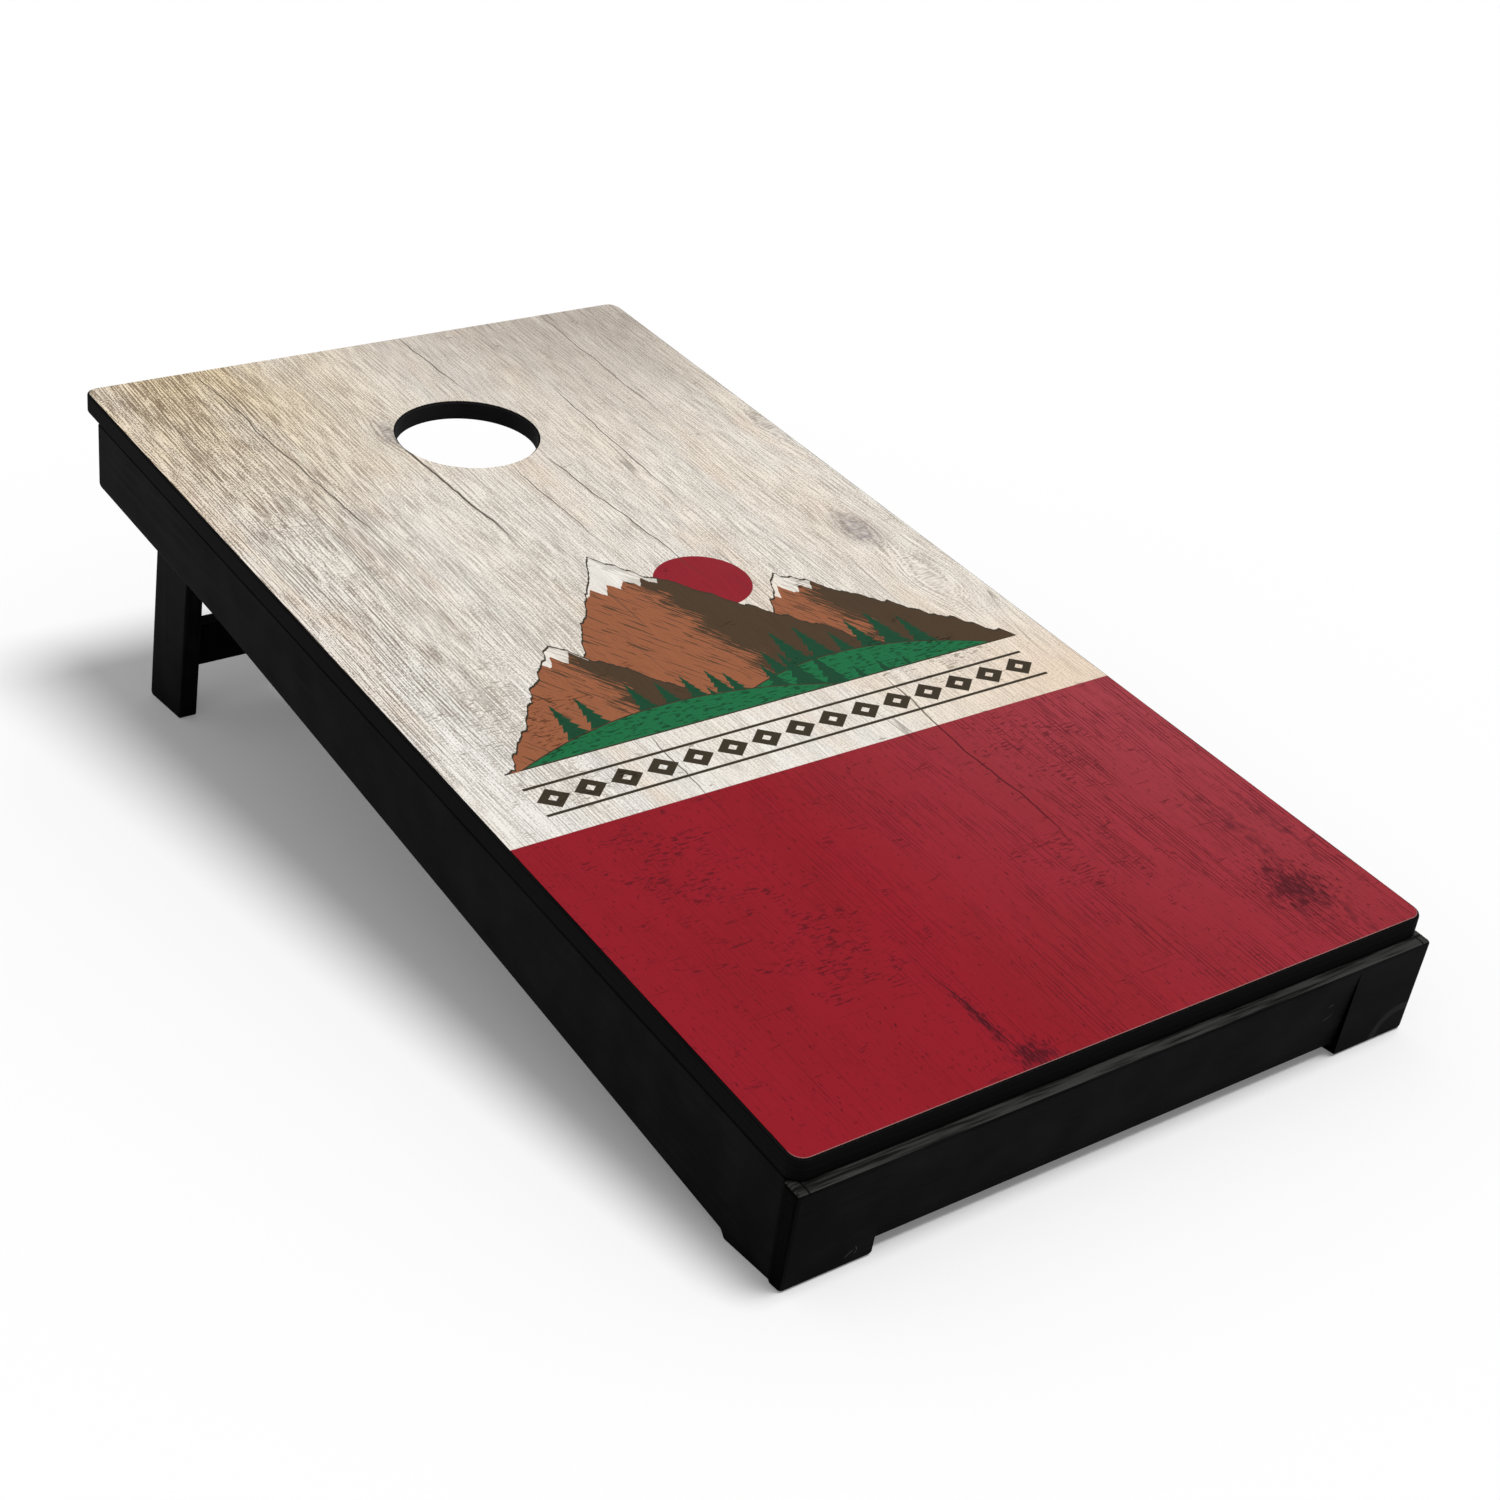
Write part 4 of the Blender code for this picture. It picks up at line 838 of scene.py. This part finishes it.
def give_finishes():
    """Gives each solid its finish: the first whose key is in the solid's name."""
    # The side rails get a lighter copy of the black, painted light that lifts the shade on their faces
    lengthwise = black_paint("black_satin_enamel_brushed_lengthwise", LENGTHWISE, SIDE_PAINT_LIFTED, SIDE_LAP_LIFTED)
    crosswise = black_paint("black_satin_enamel_brushed_crosswise", CROSSWISE)
    upright = black_paint("black_satin_enamel_brushed_upright", UPRIGHT)
    # The front rail's paint carries the ledge's painted highlight
    highlit_ledge = black_paint("black_satin_enamel_highlit_ledge", CROSSWISE, ledge=True)
    zinc = plated_metal("zinc_plated_steel", ZINC, ZINC_TINT, 0.34)
    finishes = {
        "deck_film": printed_vinyl(),
        "deck_panel": sealed_plywood(),
        "side_rail": lengthwise,
        "front_rail": highlit_ledge,
        "rear_rail": crosswise,
        "centre_brace": crosswise,
        "leg_crossbar": crosswise,
        "leg_": upright,
        "crossbar_screw": upright,
        "pivot_spacer": moulded_nylon(),
        "pivot_insert": plated_metal("turned_brass", BRASS, BRASS_TINT, 0.30),
        "pivot_": zinc,
        "_screw": zinc,
        "block": bare_pine(),
    }
    for name, solid in nodes.items():
        solid.data.materials.clear()
        solid.data.materials.append(next(look for key, look in finishes.items() if key in name))


def make_floor():
    """A level white floor that keeps the shadow; white that only the camera sees makes the shadow paler."""
    half = FLOOR_SIZE / 2
    corners = [(-half, -half, 0), (half, -half, 0), (half, half, 0), (-half, half, 0)]
    mesh = bpy.data.meshes.new("floor")
    mesh.from_pydata(corners, [], [(0, 1, 2, 3)])
    floor = bpy.data.objects.new("floor", mesh)
    bpy.context.scene.collection.objects.link(floor)
    material, shader, node = new_material("white_floor")
    finish(material, shader, Base_Color=(1, 1, 1, 1), Roughness=1.0, Specular_IOR_Level=0.0)
    seen = node("Math", {0: node("LightPath", {}), 1: FLOOR_LIFT}, operation="MULTIPLY")
    glow = node("Emission", {"Color": (1, 1, 1, 1), "Strength": 1.0})
    lifted = node("MixShader", {0: seen, 1: shader.outputs[0], 2: glow})
    material.node_tree.links.new(lifted, material.node_tree.nodes["Material Output"].inputs["Surface"])
    mesh.materials.append(material)


def make_light():
    """A white dome that looks white to the camera, in reflections and through glass, and one soft lamp."""
    world = bpy.data.worlds.new("studio")
    bpy.context.scene.world = world
    world.use_nodes = True
    node = partial(add, world.node_tree)
    back = world.node_tree.nodes["Background"]
    camera = node("LightPath", {})
    glossy = node("LightPath", {}, output=3)
    through = node("LightPath", {}, output=6)
    seen = node("Math", {0: camera, 1: glossy}, operation="MAXIMUM")
    seen = node("Math", {0: seen, 1: through}, operation="MAXIMUM")
    back.inputs["Color"].default_value = (1, 1, 1, 1)
    strength = node("MapRange", {0: seen, 3: DOME_STRENGTH, 4: 1.0})
    world.node_tree.links.new(strength, back.inputs["Strength"])

    lamp = bpy.data.lights.new("soft_lamp", "SUN")
    lamp.energy = LAMP_STRENGTH
    lamp.angle = math.radians(LAMP_SOFTNESS_DEG)
    holder = bpy.data.objects.new("soft_lamp", lamp)
    x, y, z = LAMP_FROM
    holder.rotation_euler = (math.atan2(math.hypot(x, y), z), 0, math.atan2(x, -y))
    bpy.context.scene.collection.objects.link(holder)


def make_camera():
    """The photo's viewing angle."""
    data = bpy.data.cameras.new("camera")
    data.sensor_width = CAMERA_SENSOR_MM
    data.lens = CAMERA_LENS_MM
    data.shift_x, data.shift_y = CAMERA_SHIFT
    camera = bpy.data.objects.new("camera", data)
    camera.location = CAMERA_PLACE
    camera.rotation_euler = [math.radians(a) for a in CAMERA_TURN_DEG]
    bpy.context.scene.collection.objects.link(camera)
    bpy.context.scene.camera = camera


give_finishes()
make_floor()
make_light()
make_camera()
bpy.context.scene.view_settings.view_transform = "Standard"
